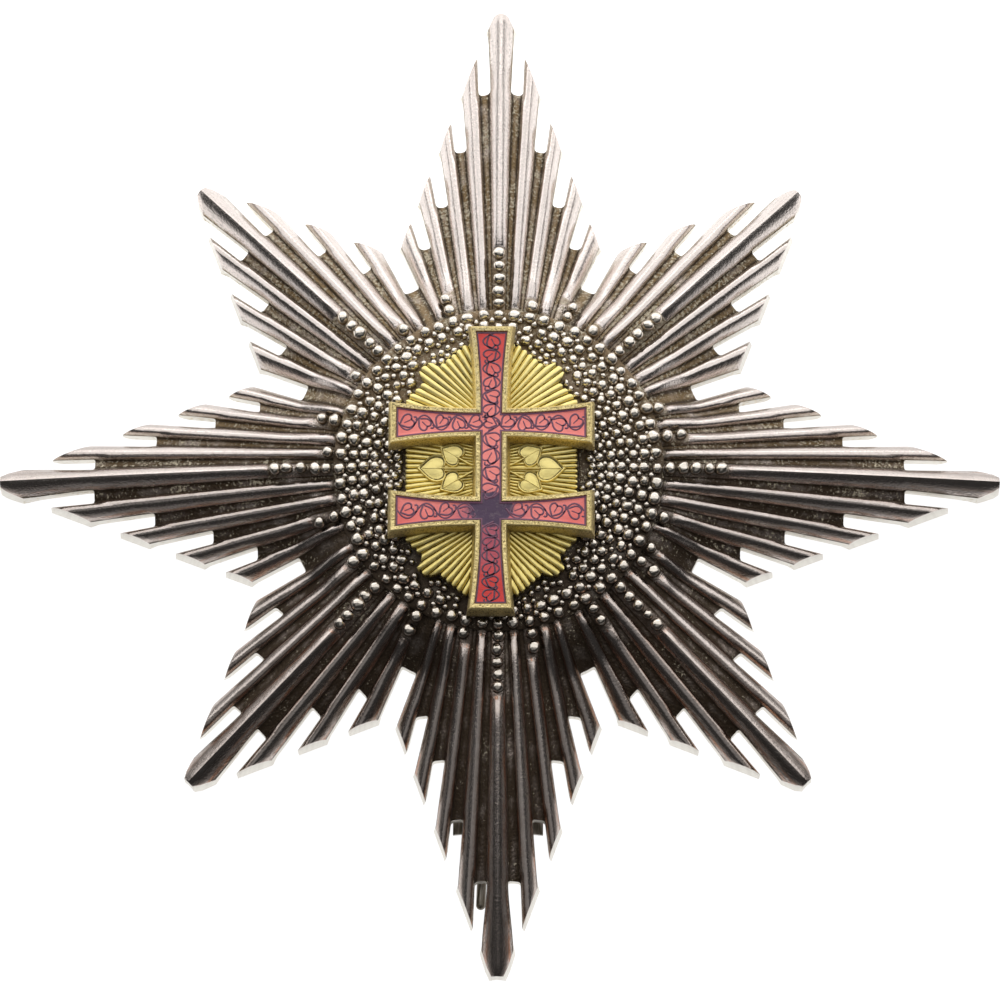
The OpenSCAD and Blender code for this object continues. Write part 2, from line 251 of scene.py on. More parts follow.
class Effects:
    """The effects that several finishes share, each a node group that is built once."""

    def __init__(self) -> None:
        """Builds the groups."""
        self.grain = self._grain()
        self.streaks = self._streaks()
        self.tarnish = self._tarnish()

    def _open(
        self, name: str, inputs: dict[str, float], outputs: Sequence[str]
    ) -> tuple[bpy.types.NodeTree, Graph, bpy.types.NodeOutputs, bpy.types.NodeInputs]:
        """Starts a node group whose inputs and outputs are numbers.

        Args:
            name: The group's name.
            inputs: Each input's default.
            outputs: The names of its outputs.

        Returns:
            The group, its graph, its input node's outputs and its output node's inputs.
        """
        group = bpy.data.node_groups.new(name, "ShaderNodeTree")
        for label, value in inputs.items():
            socket = group.interface.new_socket(label, in_out="INPUT", socket_type="NodeSocketFloat")
            socket.default_value = value
        for label in outputs:
            group.interface.new_socket(label, in_out="OUTPUT", socket_type="NodeSocketFloat")
        graph = Graph(group)
        return group, graph, graph.node("NodeGroupInput").outputs, graph.node("NodeGroupOutput").inputs

    def _grain(self) -> bpy.types.NodeTree:
        """The sandy skin of cast metal: a coarse unevenness with fine pits in it.

        Returns:
            The group. Its sizes are cells per metre.
        """
        group, graph, given, result = self._open(
            "cast_grain", {"Coarse": 900.0, "Fine": 4200.0}, ("Height", "Patches")
        )
        place = graph.place()
        coarse = graph.noise(place, given["Coarse"], 4.0)
        pits = graph.ramp(graph.noise(place, given["Fine"], 4.0), 0.3, 0.62)
        graph.feed(result["Height"], graph.maths("MULTIPLY_ADD", pits, 0.6, coarse))
        graph.feed(result["Patches"], coarse)
        return group

    def _streaks(self) -> bpy.types.NodeTree:
        """Marks that run outwards from the star's middle, as filing and wiping leave them.

        Returns:
            The group.
        """
        group, graph, given, result = self._open(
            "ray_streaks", {"Across": 150.0, "Along": 320.0}, ("Value",)
        )
        flat = graph.vector("MULTIPLY", graph.place(), (1, 1, 0))
        wide = graph.vector("SCALE", graph.vector("NORMALIZE", flat), given["Across"])
        rise = graph.node("ShaderNodeCombineXYZ")
        graph.feed(rise.inputs["Z"], graph.times(graph.vector("LENGTH", flat), given["Along"]))
        total = graph.vector("ADD", wide, rise.outputs[0])
        graph.feed(result["Value"], graph.noise(total, 1.0, 4.0, 0.6))
        return group

    def _tarnish(self) -> bpy.types.NodeTree:
        """How dark the tarnish is at a point, from how hollow the place is, and its dry beige silt.

        The silt lies on open floors, thickest on the upper half of the star. Lower is 1 over the star's
        lower half; it carries the painted shade there and the painted light on the upper floors.

        Returns:
            The group.
        """
        group, graph, given, result = self._open(
            "tarnish", {"Hollow": 0.0, "Reach": 0.5, "Softness": 0.25}, ("Dark", "Silt", "Lower")
        )
        place = graph.place()
        # lower is 1 over the star's lower half: it paints shade there and keeps the lighter, painted-light
        # floor tarnish to the upper half
        lower = graph.ramp(graph.height_up(place), 0.016, -0.02)
        shift = graph.maths("MULTIPLY_ADD", graph.noise(place, 420.0, 5.0, 0.62), 0.9, -0.45)
        deep = graph.maths("ADD", given["Hollow"], shift)
        low = graph.maths("SUBTRACT", given["Reach"], given["Softness"])
        high = graph.maths("ADD", given["Reach"], given["Softness"])
        graph.feed(result["Dark"], graph.ramp(deep, low, high))
        cover = graph.maths("MULTIPLY_ADD", graph.noise(place, 260.0), -0.35, 0.72)
        cover = graph.maths("MULTIPLY_ADD", lower, 0.11, cover)
        grains = graph.noise(place, 3600.0, 3.0, 0.7)
        silt = graph.ramp(graph.maths("SUBTRACT", grains, cover), -0.04, 0.07)
        floor = graph.times(graph.ramp(given["Hollow"], 0.6, 0.8), graph.ramp(given["Hollow"], 1.0, 0.9))
        graph.feed(result["Silt"], graph.times(silt, floor))
        graph.feed(result["Lower"], lower)
        return group


@dataclass(frozen=True)
class MetalFinish:
    """A metal: its clean, worn and tarnished colours, and how they lie on the form.

    Args:
        name: The material's name.
        clean: Colour where hands polish it.
        worn: Colour of its duller streaks.
        dark: Colour of the tarnish in hollows.
        silt: Colour of the dry grains on the floors.
        earth: Colour of the tarnish on open floors and other tarnished places of the upper half, lighter
            than the dark tarnish: painted light there.
        stained: Colour of the painted shade over the flanks of the star's lower half.
        copper: Colour of the warmer, copper tarnish along the rays' feet, on the lower half only.
        gloss: Roughness of the clean metal.
        dull: Roughness of the tarnish.
        reach: How hollow a place is before it darkens.
        softness: How gradually it darkens.
        streak: How strong the streaks are.
        stain: How strong the painted shade over the lower half is; at 0 the copper tarnish is left out too.
        grain: Height of the cast grain, in metres.
        metal_in_dark: How metallic the tarnish still is.
        speckle: How strong the fine dark dots are, off the crests.
    """

    name: str
    clean: Colour
    worn: Colour
    dark: Colour
    silt: Colour
    earth: Colour = (0.3, 0.21, 0.11)
    stained: Colour = (0.3, 0.235, 0.195)
    copper: Colour = (0.48, 0.22, 0.12)
    gloss: float = 0.3
    dull: float = 0.6
    reach: float = 0.6
    softness: float = 0.25
    streak: float = 0.5
    stain: float = 0.0
    grain: float = 0.00003
    metal_in_dark: float = 0.4
    speckle: float = 0.0

    def material(self, effects: Effects) -> bpy.types.Material:
        """Makes the material.

        Args:
            effects: The shared node groups.

        Returns:
            The material.
        """
        made, graph, shader = new_material(self.name)
        hollow = graph.node("ShaderNodeAttribute", attribute_name="hollow").outputs["Fac"]
        grain = graph.node("ShaderNodeGroup", node_tree=effects.grain).outputs
        streaks = graph.node("ShaderNodeGroup", node_tree=effects.streaks).outputs["Value"]
        tarnish = graph.node("ShaderNodeGroup", node_tree=effects.tarnish)
        for name, value in (("Hollow", hollow), ("Reach", self.reach), ("Softness", self.softness)):
            graph.feed(tarnish.inputs[name], value)
        dark, silt, lower = (tarnish.outputs[name] for name in ("Dark", "Silt", "Lower"))
        lines = graph.ramp(streaks, 0.36, 0.7)
        colour = graph.blend(graph.times(lines, self.streak, clamp=True), self.clean, self.worn)
        # Painted shade: over the star's lower half the flanks darken in patches towards stained, less on
        # the crests. The copper below is tarnish along the feet, also kept to the lower half.
        if self.stain:
            cloud = graph.maths("MULTIPLY_ADD", grain["Patches"], 0.8, self.stain - 0.4)
            lower_flank_shade = graph.times(lower, graph.ramp(hollow, 0.0, 0.05, 0.45, 1.0))
            colour = graph.blend(graph.times(lower_flank_shade, cloud, clamp=True), colour, self.stained)
            foot = graph.times(graph.ramp(hollow, 0.02, 0.3), graph.ramp(hollow, 0.85, 0.55))
            warm = graph.times(graph.ramp(streaks, 0.45, 0.62, 0.0, 0.75), foot)
            colour = graph.blend(graph.times(warm, lower), colour, self.copper)
        # Painted light: tarnish on the upper half, except in the deepest hollows, takes earth, lighter than
        # the dark tarnish of the lower half.
        lit_upper_floor = graph.times(graph.ramp(hollow, 0.95, 0.86), graph.ramp(lower, 0.55, 0.05))
        colour = graph.blend(dark, colour, graph.blend(lit_upper_floor, self.dark, self.earth))
        colour = graph.blend(silt, colour, self.silt)
        if self.speckle:
            dots = graph.ramp(graph.noise(graph.place(), 5600.0, 2.0, 0.7), 0.5, 0.62, 0.0, self.speckle)
            dots = graph.times(dots, graph.ramp(hollow, 0.05, 0.5, 0.25, 1.0))
            colour = graph.blend(dots, colour, self.dark)
        graph.feed(shader.inputs["Base Color"], colour)
        rough = graph.maths("MULTIPLY_ADD", lines, 0.12 * self.streak, self.gloss)
        rough = graph.maths("MAXIMUM", rough, graph.times(dark, self.dull))
        graph.feed(shader.inputs["Roughness"], graph.maths("MAXIMUM", rough, graph.times(silt, 0.85)))
        metal = graph.ramp(dark, 0.0, 1.0, 1.0, self.metal_in_dark)
        metal = graph.times(metal, graph.maths("MULTIPLY_ADD", silt, -0.8, 1.0))
        graph.feed(shader.inputs["Metallic"], metal)
        sand = graph.times(grain["Height"], graph.ramp(hollow, 0.2, 0.9, 0.2, 1.0))
        height = graph.maths("MULTIPLY_ADD", silt, 0.5, graph.maths("MULTIPLY_ADD", lines, 0.04, sand))
        graph.feed(shader.inputs["Normal"], graph.bump(height, self.grain))
        return made


@dataclass(frozen=True)
class EnamelFinish:
    """Glossy enamel with a paler painted sheen over its middle, where it reflects the soft light, and one
    dark, damaged place.

    Args:
        name: The material's name.
        deep: Its colour at the ends of the bars.
        pale: Its colour under the painted sheen.
        scar: Colour of the damaged place.
        crazed: Colour of the scratches in it.
        scar_at: Middle of that place in mm, or None where there is none.
        scar_size: Its half length and half height in mm.
        sheen_at: Middle of the painted sheen in mm.
        sheen_size: How far the painted sheen goes across and along, in mm.
        haze: Colour of the smoke round the damaged place.
        haze_at: Middle of the smoke in mm.
        haze_size: Its half width and half height in mm.
        foil: How much the bright metal under the glass shines through.
    """

    name: str
    deep: Colour
    pale: Colour
    scar: Colour = (0.035, 0.025, 0.035)
    crazed: Colour = (0.24, 0.19, 0.21)
    scar_at: Plan | None = None
    scar_size: Plan = (1.9, 1.5)
    sheen_at: Plan = (-0.5, 0.0)
    sheen_size: Plan = (20.0, 11.0)
    haze: Colour = (0.2, 0.035, 0.11)
    haze_at: Plan = (-1.1, -6.4)
    haze_size: Plan = (5.0, 4.6)
    foil: float = 0.0

    def material(self, effects: Effects) -> bpy.types.Material:
        """Makes the material.

        Args:
            effects: The shared node groups.

        Returns:
            The material.
        """
        made, graph, shader = new_material(self.name)
        place = graph.place()
        grain = graph.node("ShaderNodeGroup", node_tree=effects.grain).outputs
        cloud = graph.noise(place, 330.0)
        # Painted reflection: the colour goes pale towards the middle of the cross, where the enamel
        # reflects the soft light.
        away = self._distance(graph, place, self.sheen_at, self.sheen_size)
        painted_sheen = graph.ramp(graph.maths("MULTIPLY_ADD", cloud, 0.5, away), 0.55, 1.35, 1.0, 0.0)
        colour = graph.blend(painted_sheen, self.deep, self.pale)
        rough = graph.maths("MULTIPLY_ADD", cloud, 0.15, 0.32)
        if self.scar_at is not None:
            away = self._distance(graph, place, self.haze_at, self.haze_size)
            haze = graph.ramp(graph.maths("MULTIPLY_ADD", cloud, 0.6, away), 0.5, 1.4, 0.62, 0.0)
            colour = graph.blend(haze, colour, self.haze)
            away = self._distance(graph, place, self.scar_at, self.scar_size)
            torn = graph.maths("MULTIPLY_ADD", graph.noise(place, 1100.0, 4.0, 0.65), 0.7, away)
            scar = graph.ramp(torn, 1.22, 1.36, 1.0, 0.0)
            crazed = graph.ramp(graph.noise(place, 1900.0, 5.0, 0.75), 0.48, 0.68, 0.0, 0.55)
            colour = graph.blend(scar, colour, graph.blend(crazed, self.scar, self.crazed))
            rough = graph.maths("MULTIPLY_ADD", scar, 0.2, rough)
        graph.feed(shader.inputs["Base Color"], colour)
        graph.feed(shader.inputs["Roughness"], rough)
        graph.feed(shader.inputs["Normal"], graph.bump(grain["Height"], 0.000012))
        shader.inputs["Metallic"].default_value = self.foil
        shader.inputs["Coat Weight"].default_value = 0.35
        shader.inputs["Coat Roughness"].default_value = 0.08
        return made

    def _distance(self, graph: Graph, place: object, middle: Plan, size: Plan) -> bpy.types.NodeSocket:
        """Distance from a point in the plan, as a share of a size.

        Args:
            graph: The graph to add to.
            place: The coordinates' socket.
            middle: The point in mm.
            size: The size that counts as 1 along x and y, in mm.

        Returns:
            The distance's socket.
        """
        moved = graph.vector("SUBTRACT", place, (middle[0] * MM, middle[1] * MM, 0))
        scaled = graph.vector("MULTIPLY", moved, (1 / (size[0] * MM), 1 / (size[1] * MM), 0))
        return graph.vector("LENGTH", scaled)


@dataclass
class Patch:
    """A grid of plan points, and what stands on it.

    Args:
        x: Plan x of each point, rows by columns.
        y: Plan y of each point.
        rise: Height of each point above the ground form.
        hollow: How hollow the place is, from 0 on a crest to 1 in a groove.
    """

    x: np.ndarray
    y: np.ndarray
    rise: np.ndarray
    hollow: np.ndarray


def smooth(value: np.ndarray | float) -> np.ndarray:
    """Goes smoothly from 0 to 1 as the value does."""
    held = np.clip(value, 0.0, 1.0)
    return held * held * (3 - 2 * held)


def turned(x: np.ndarray, y: np.ndarray, degrees: float) -> tuple[np.ndarray, np.ndarray]:
    """Turns plan points about the middle, anticlockwise.

    Args:
        x: Their x.
        y: Their y.
        degrees: The turn.

    Returns:
        The turned x and y.
    """
    c, s = math.cos(math.radians(degrees)), math.sin(math.radians(degrees))
    return x * c - y * s, x * s + y * c


def mesh_object(
    name: str, points: np.ndarray, faces: Sequence[Sequence[int]], sharp: float = 38.0
) -> bpy.types.Object:
    """Makes a smooth-shaded object from points in mm.

    Args:
        name: The piece's name.
        points: Its vertices, in mm.
        faces: The vertex numbers of each face.
        sharp: The angle in degrees from which an edge is sharp.

    Returns:
        The object, linked to the scene.
    """
    mesh = bpy.data.meshes.new(name)
    mesh.from_pydata((np.asarray(points) * MM).tolist(), [], [list(map(int, f)) for f in faces])
    mesh.validate()
    mesh.polygons.foreach_set("use_smooth", np.ones(len(mesh.polygons), bool))
    mesh.set_sharp_from_angle(angle=math.radians(sharp))
    made = bpy.data.objects.new(name, mesh)
    bpy.context.scene.collection.objects.link(made)
    return made


def mark_hollows(piece: bpy.types.Object, values: np.ndarray) -> None:
    """Stores how hollow each vertex is, for the finishes.

    Args:
        piece: The object.
        values: One value for each vertex.
    """
    stored = piece.data.attributes.new("hollow", "FLOAT", "POINT")
    stored.data.foreach_set("value", np.asarray(values, np.float32))


def lifted(
    name: str,
    patches: Sequence[Patch],
    top: Surface,
    bottom: Surface,
    back_hollow: float = 0.7,
    leaned: Callable[[np.ndarray, np.ndarray], tuple[np.ndarray, np.ndarray]] | None = None,
) -> bpy.types.Object:
    """Joins patches, lifts them to their heights and closes them with walls and a back.

    Args:
        name: The piece's name.
        patches: The patches. Points that two patches share become one vertex.
        top: Height of the ground form's front over a plan point.
        bottom: Height of its back.
        back_hollow: How hollow the back counts as.
        leaned: Moves the back's plan points, where the walls lean.

    Returns:
        The object. Its material slots are front 0, cut walls 1 and back 2.
    """
    x = np.concatenate([p.x.ravel() for p in patches])
    y = np.concatenate([p.y.ravel() for p in patches])
    quads, start = [], 0
    for patch in patches:
        at = np.arange(patch.x.size).reshape(patch.x.shape) + start
        quads.append(np.stack([at[:-1, :-1], at[:-1, 1:], at[1:, 1:], at[1:, :-1]], -1).reshape(-1, 4))
        start += patch.x.size
    keys = np.round(np.stack([x, y], 1) * 1000).astype(np.int64)
    _, first, where = np.unique(keys, axis=0, return_index=True, return_inverse=True)
    where = where.ravel()
    count = len(first)
    rise, hollow = np.full(count, -np.inf), np.zeros(count)
    np.maximum.at(rise, where, np.concatenate([p.rise.ravel() for p in patches]))
    np.maximum.at(hollow, where, np.concatenate([p.hollow.ravel() for p in patches]))
    x, y = x[first], y[first]
    quads = where[np.concatenate(quads)]
    ring_x, ring_y = x[quads], y[quads]
    area = (ring_x * np.roll(ring_y, -1, 1) - np.roll(ring_x, -1, 1) * ring_y).sum(1)
    quads = np.where((area < 0)[:, None], quads[:, ::-1], quads)[np.abs(area) > SLIVER]
    front = [[f[i] for i in range(4) if f[i] != f[i - 1]] for f in quads.tolist()]
    front = [f for f in front if len(f) > 2]
    edges = np.array([(f[i - 1], f[i]) for f in front for i in range(len(f))])
    edge_keys = edges[:, 0] * count + edges[:, 1]
    open_edges = edges[~np.isin(edge_keys, edges[:, 1] * count + edges[:, 0])]
    walls = [(b, a, a + count, b + count) for a, b in open_edges.tolist()]
    back = [[i + count for i in reversed(f)] for f in front]
    height = top(x, y) + rise
    bx, by = leaned(x, y) if leaned else (x, y)
    points = np.concatenate([np.stack([x, y, height], 1), np.stack([bx, by, bottom(bx, by)], 1)])
    made = mesh_object(name, points, front + walls + back)
    mark_hollows(made, np.concatenate([hollow, np.full(count, back_hollow)]))
    kinds = np.repeat([0, 1, 2], [len(front), len(walls), len(back)])
    if len(kinds) == len(made.data.polygons):
        made.data.polygons.foreach_set("material_index", kinds.astype(np.int32))
    return made


def level(z: float) -> Surface:
    """A surface at one height."""
    return lambda x, y: np.full_like(x, z)


def ring_faces(rings: int, n: int, closed: bool) -> list[list[int]]:
    """The faces between rings of points.

    Args:
        rings: How many rings.
        n: How many points each has.
        closed: Whether the last ring is joined to the first.

    Returns:
        The vertex numbers of each face.
    """
    at = np.arange(rings * n).reshape(rings, n)
    beside, above = np.roll(at, -1, 1), np.roll(at, -1, 0)
    faces = np.stack([at, beside, np.roll(beside, -1, 0), above], -1)
    return faces[:rings if closed else -1].reshape(-1, 4).tolist()


def strip_object(
    name: str, path: np.ndarray, half: float, across: Sequence[float], heights: Sequence[float],
    hollow: Sequence[float],
) -> bpy.types.Object:
    """Builds a strip of one section along a path.

    Args:
        name: The mesh's name.
        path: Plan points along its middle.
        half: Half its width.
        across: The section's places, as shares of half.
        heights: The height of each.
        hollow: How hollow each is.

    Returns:
        The object.
    """
    along = np.gradient(path, axis=0)
    along /= np.maximum(np.linalg.norm(along, axis=1)[:, None], TINY)
    side = np.stack([-along[:, 1], along[:, 0]], 1)
    points = [(*(p + s * half * a), z) for p, s in zip(path, side) for a, z in zip(across, heights)]
    n = len(across)
    faces = [
        (j * n + i, j * n + n + i, j * n + n + i + 1, j * n + i + 1)
        for j in range(len(path) - 1) for i in range(n - 1)
    ]
    made = mesh_object(name, np.array(points), faces, 60)
    mark_hollows(made, np.tile(hollow, len(path)))
    return made


def dress(
    piece: bpy.types.Object, materials: Sequence[bpy.types.Material], slot: str, *nodes: str
) -> bpy.types.Object:
    """Gives a piece its finishes and its place in the frame.

    Args:
        piece: The object.
        materials: Its materials, slot by slot.
        slot: The record's material slot; not used.
        nodes: The solids that it stands for.

    Returns:
        The piece.
    """
    for material in materials:
        piece.data.materials.append(material)
    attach(piece, "root")
    if nodes:
        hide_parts(*nodes)
    LOG.info("%s: %d faces", piece.name, len(piece.data.polygons))
    return piece


@dataclass(frozen=True)
class Groove:
    """A straight groove or edge, in its arm's frame.

    Args:
        inner_x: Its x where y is ROOT_Y.
        foot_x: Its x at the foot of its slot.
        foot_y: Its y there.
        flare: How much wider its slot is at the outline.
    """

    inner_x: float
    foot_x: float
    foot_y: float
    flare: float = 1.25

    def x(self, y: np.ndarray) -> np.ndarray:
        """The groove's x at some y."""
        return self.inner_x + (self.foot_x - self.inner_x) * (y - ROOT_Y) / (self.foot_y - ROOT_Y)


@dataclass(frozen=True)
class Arm:
    """One kind of arm, pointing up its own +Y axis.

    Args:
        tip_r: Radius of its tip.
        tip_half: Half the width of its blunt tip.
        taper: Sideways run of its outline for each mm.
        grooves: Its grooves, from the middle outwards.
        edge: The outer edge of its last ray.
        turn: How far it lies from the upright arm, in degrees.
        corner: Radius of the corners at its slots' feet.
        widen: How much its middle ray widens towards the tip, on each side.
        trim: How much shorter its tip is.
        cut: Length of the slanting cuts beside its tip.
    """

    tip_r: float
    tip_half: float
    taper: float
    grooves: tuple[Groove, ...]
    edge: Groove
    turn: float = 0.0
    corner: float = 0.22
    widen: float = 0.1
    trim: float = 0.0
    cut: float = 1.8

    def outline_x(self, y: np.ndarray) -> np.ndarray:
        """Half the width inside the arm's outline at some y."""
        return self.tip_half + self.taper * (self.tip_r - y)

    def rim_gap(self, x: np.ndarray, y: np.ndarray) -> np.ndarray:
        """Distance from the arm's outline in the plan."""
        return (self.outline_x(y) - np.abs(x)) / math.hypot(1, self.taper)


LONG = Arm(
    tip_r=45.0, tip_half=0.66, taper=0.377, edge=Groove(6.09, 7.25, 17.8),
    grooves=(
        Groove(0.75, 1.48, 36.4, 1.05), Groove(2.05, 3.62, 30.9), Groove(3.50, 5.25, 25.6),
        Groove(4.95, 6.75, 21.6),
    ),
)
SHORT = Arm(
    tip_r=39.0, tip_half=0.86, taper=0.442, edge=Groove(4.94, 6.07, 18.2),
    grooves=(Groove(0.80, 1.55, 31.2, 1.05), Groove(2.20, 3.60, 26.4), Groove(3.75, 5.30, 22.3)),
)


@dataclass(frozen=True)
class StarForm:
    """The bent sheet of the star: roof-shaped arms that run into a round cap.

    Args:
        cap_h: Height of the back under the middle.
        cap_r: Radius of the cap.
        roof_h: Where the ridges would meet over the middle.
        sheet_t: The sheet's thickness, measured upright.
        rim_slope: How steep the roofs are at the rim.
        sink: How far the roofs pass under the floor.
        roof_mid: Distance from the rim at which the roofs would be level.
        cap_edge: Radius inside which the sheet is the round cap.
        roof_edge: Radius outside which it is the roofs.
        valley: Turn of the valleys from a long arm, in degrees.
        lean: How far the cut walls lean out from the front to the back.
    """

    cap_h: float = 6.1
    cap_r: float = 143.0
    roof_h: float = 7.5
    sheet_t: float = 1.35
    rim_slope: float = 0.67
    sink: float = 0.2
    roof_mid: float = 16.6
    cap_edge: float = 14.7
    roof_edge: float = 19.6
    valley: float = 24.2
    lean: float = 0.2

    def in_arm(self, x: np.ndarray, y: np.ndarray) -> tuple[np.ndarray, np.ndarray, np.ndarray, np.ndarray]:
        """Finds the arm that plan points lie in.

        Args:
            x: Their x.
            y: Their y.

        Returns:
            Whether it is a long arm, its turn in degrees, and the points' x and y in its frame.
        """
        r = np.hypot(x, y)
        turn = np.degrees(np.arctan2(-x, y))
        rest = np.mod(turn + self.valley, 90.0) - self.valley
        is_long = rest <= self.valley
        base = np.where(is_long, turn - rest, turn - rest + 45)
        off = np.radians(turn - base)
        return is_long, base, -r * np.sin(off), r * np.cos(off)

    def rim_gap(self, x: np.ndarray, y: np.ndarray) -> np.ndarray:
        """Distance of plan points from the outline."""
        is_long, _, ax, ay = self.in_arm(x, y)
        return np.where(is_long, LONG.rim_gap(ax, ay), SHORT.rim_gap(ax, ay))

    def under(self, x: np.ndarray, y: np.ndarray) -> np.ndarray:
        """Height of the bent back over plan points.

        Args:
            x: Their x.
            y: Their y.

        Returns:
            The heights, below 0 just inside the rim.
        """
        r = np.hypot(x, y)
        bow = self.rim_slope * self.roof_mid / self.roof_h
        rise = self.rim_gap(x, y) / self.roof_mid
        roof = self.roof_h * (1 - np.power(np.maximum(1 - rise, 0), bow)) - self.sink
        cap = self.cap_h - self.cap_r + np.sqrt(self.cap_r**2 - np.minimum(r, 60) ** 2)
        share = smooth((self.roof_edge - r) / (self.roof_edge - self.cap_edge))
        return share * cap + (1 - share) * roof

    def leaned(self, x: np.ndarray, y: np.ndarray) -> tuple[np.ndarray, np.ndarray]:
        """Moves points at the rim outwards, as the cut walls lean towards the back.

        Args:
            x: Their x.
            y: Their y.

        Returns:
            The moved x and y.
        """
        is_long, base, ax, _ = self.in_arm(x, y)
        taper = np.where(is_long, LONG.taper, SHORT.taper)
        out = self.lean * np.clip(1 - (self.rim_gap(x, y) - self.lean) / 0.3, 0, 1) / np.hypot(1, taper)
        c, s = np.cos(np.radians(base)), np.sin(np.radians(base))
        dx, dy = np.sign(ax) * out, taper * out
        return x + dx * c - dy * s, y + dx * s + dy * c

    def top(self, x: np.ndarray, y: np.ndarray) -> np.ndarray:
        """Height of the sheet's front."""
        return self.under(x, y) + self.sheet_t

    def back(self, x: np.ndarray, y: np.ndarray) -> np.ndarray:
        """Height of the back, cut level at the floor."""
        return np.maximum(self.under(x, y), 0.0)


@dataclass
class RayedStar:
    """The silver star: 64 rays with sawn slots between them, on a bent sheet.

    Args:
        form: The sheet's form.
        disc_r: Radius at which the rays' strips start, under the beads.
        ray_in: Radius at which a ray starts where no more beads stand on it.
        middle_in: Radius at which the arms' middle rays start, past their beads.
        bead_step: How much further out a ray starts for each bead on it.
        rise_run: How far out a ray takes to reach its full height.
        low: Height of the low ridge that carries those beads.
        ray_h_in: A ray's height at its inner end.
        ray_h: Its height at its outer end.
        slot_w: Width of the slots.
        flare_run: How far from its foot a slot has its full flare.
        floor_in: Width of a groove's floor at its inner end.
        floor_out: Its width before the slot.
        mouth: How far before its foot a slot starts to widen.
        tip_half: Half the width of a middle ray's blunt tip.
        beads_on: How many more beads stand on a ray, by the ray's number.
        arms: For each arm, clockwise from the upright one, its trim, widening, corner radius and tip cut.
        across: Where the points lie across a ray, from -1 to 1.
        section: The height of a ray at each of them.
        crest: The height of a middle ray there, which is flatter.
        floor_across: Where the points lie across a floor.
    """

    form: StarForm = field(default_factory=StarForm)
    disc_r: float = 13.9
    ray_in: float = 14.9
    middle_in: float = 20.5
    bead_step: float = 1.15
    rise_run: float = 0.5
    low: float = 0.3
    ray_h_in: float = 0.55
    ray_h: float = 0.95
    slot_w: float = 1.1
    flare_run: float = 7.0
    floor_in: float = 0.34
    floor_out: float = 0.86
    mouth: float = 0.3
    tip_half: float = 0.6
    beads_on: dict[int, int] = field(default_factory=lambda: {
        2: 1, 4: 2, 6: 1, 12: 1, 14: 2, 19: 1, 21: 1, 22: 2, 26: 2, 30: 2, 34: 1,
        37: 2, 42: 1, 45: 2, 49: 1, 51: 2, 54: 1, 58: 1, 61: 2,
    })
    arms: tuple[tuple[float, float, float, float], ...] = (
        (0.65, 0.06, 0.45, 1.0), (0.6, 0.05, 0.32, 1.6), (0.0, 0.12, 0.22, 1.8), (0.2, 0.12, 0.22, 1.7),
        (0.2, 0.3, 0.22, 2.3), (0.1, 0.15, 0.22, 1.8), (0.0, 0.2, 0.22, 1.9), (0.3, 0.08, 0.28, 1.5),
    )
    across: tuple[float, ...] = (-1, -0.93, -0.82, -0.64, -0.38, -0.15, 0, 0.15, 0.38, 0.64, 0.82, 0.93, 1)
    section: tuple[float, ...] = (0, 0.24, 0.48, 0.72, 0.89, 0.975, 1.0, 0.975, 0.89, 0.72, 0.48, 0.24, 0)
    crest: tuple[float, ...] = (0, 0.2, 0.43, 0.67, 0.86, 0.93, 0.92, 0.93, 0.86, 0.67, 0.43, 0.2, 0)
    floor_across: tuple[float, ...] = (-1, -0.95, -0.85, -0.6, 0, 0.6, 0.85, 0.95, 1)

    def half_floor(self, groove: Groove, y: np.ndarray, arm: Arm) -> np.ndarray:
        """Half the width of a groove's floor, and of its slot further out.

        Args:
            groove: The groove. An arm's edge has no floor of its own.
            y: Where, in the arm's frame.
            arm: The arm.

        Returns:
            The half widths.
        """
        if groove is arm.edge:
            return np.zeros_like(y)
        share = np.clip((y - ROOT_Y) / (groove.foot_y - ROOT_Y), 0, 1)
        inner = self.floor_in + (self.floor_out - self.floor_in) * share
        reach = np.clip((y - groove.foot_y) / self.flare_run, 0, 1)
        opened = smooth((y - groove.foot_y + self.mouth) / (self.mouth + arm.corner))
        return (inner + (self.slot_w - self.floor_out) * opened) / 2 * (1 + (groove.flare - 1) * reach)

    def foot_line(self, arm: Arm, groove: Groove, side: Side, mirror: int) -> Line:
        """The line where a ray's flank meets a groove.

        Args:
            arm: The arm.
            groove: The groove beside the ray.
            side: On which side of the groove, outwards from the arm's middle, the line is.
            mirror: 1 for the arm's right half and -1 for its left half.

        Returns:
            A function from y to x.
        """
        return lambda y: mirror * (groove.x(y) + side.value * self.half_floor(groove, y, arm))

    def ray_sides(self, arm: Arm, place: int) -> tuple[tuple[Line, Line], Plan]:
        """The lines along both sides of a ray.

        Args:
            arm: The arm.
            place: The ray's place from the arm's middle ray, negative on its left.

        Returns:
            Its left and right foot line, and the y of the slots' feet there.
        """
        rows = (*arm.grooves, arm.edge)
        if place == 0:
            lines = tuple(self.foot_line(arm, rows[0], Side.LEFT, mirror) for mirror in (-1, 1))
            return lines, (rows[0].foot_y, rows[0].foot_y)
        mirror = 1 if place > 0 else -1
        near, far = rows[abs(place) - 1], rows[abs(place)]
        lines = (self.foot_line(arm, near, Side.RIGHT, mirror), self.foot_line(arm, far, Side.LEFT, mirror))
        return lines[::mirror], (near.foot_y, far.foot_y)[::mirror]

    @staticmethod
    def on_circle(line: Line, r: float) -> float:
        """Where a line meets a circle round the middle.

        Args:
            line: A function from y to x.
            r: The circle's radius.

        Returns:
            The y of that place.
        """
        y = r
        for _ in range(12):
            y = math.sqrt(r * r - float(line(np.float64(y))) ** 2)
        return y

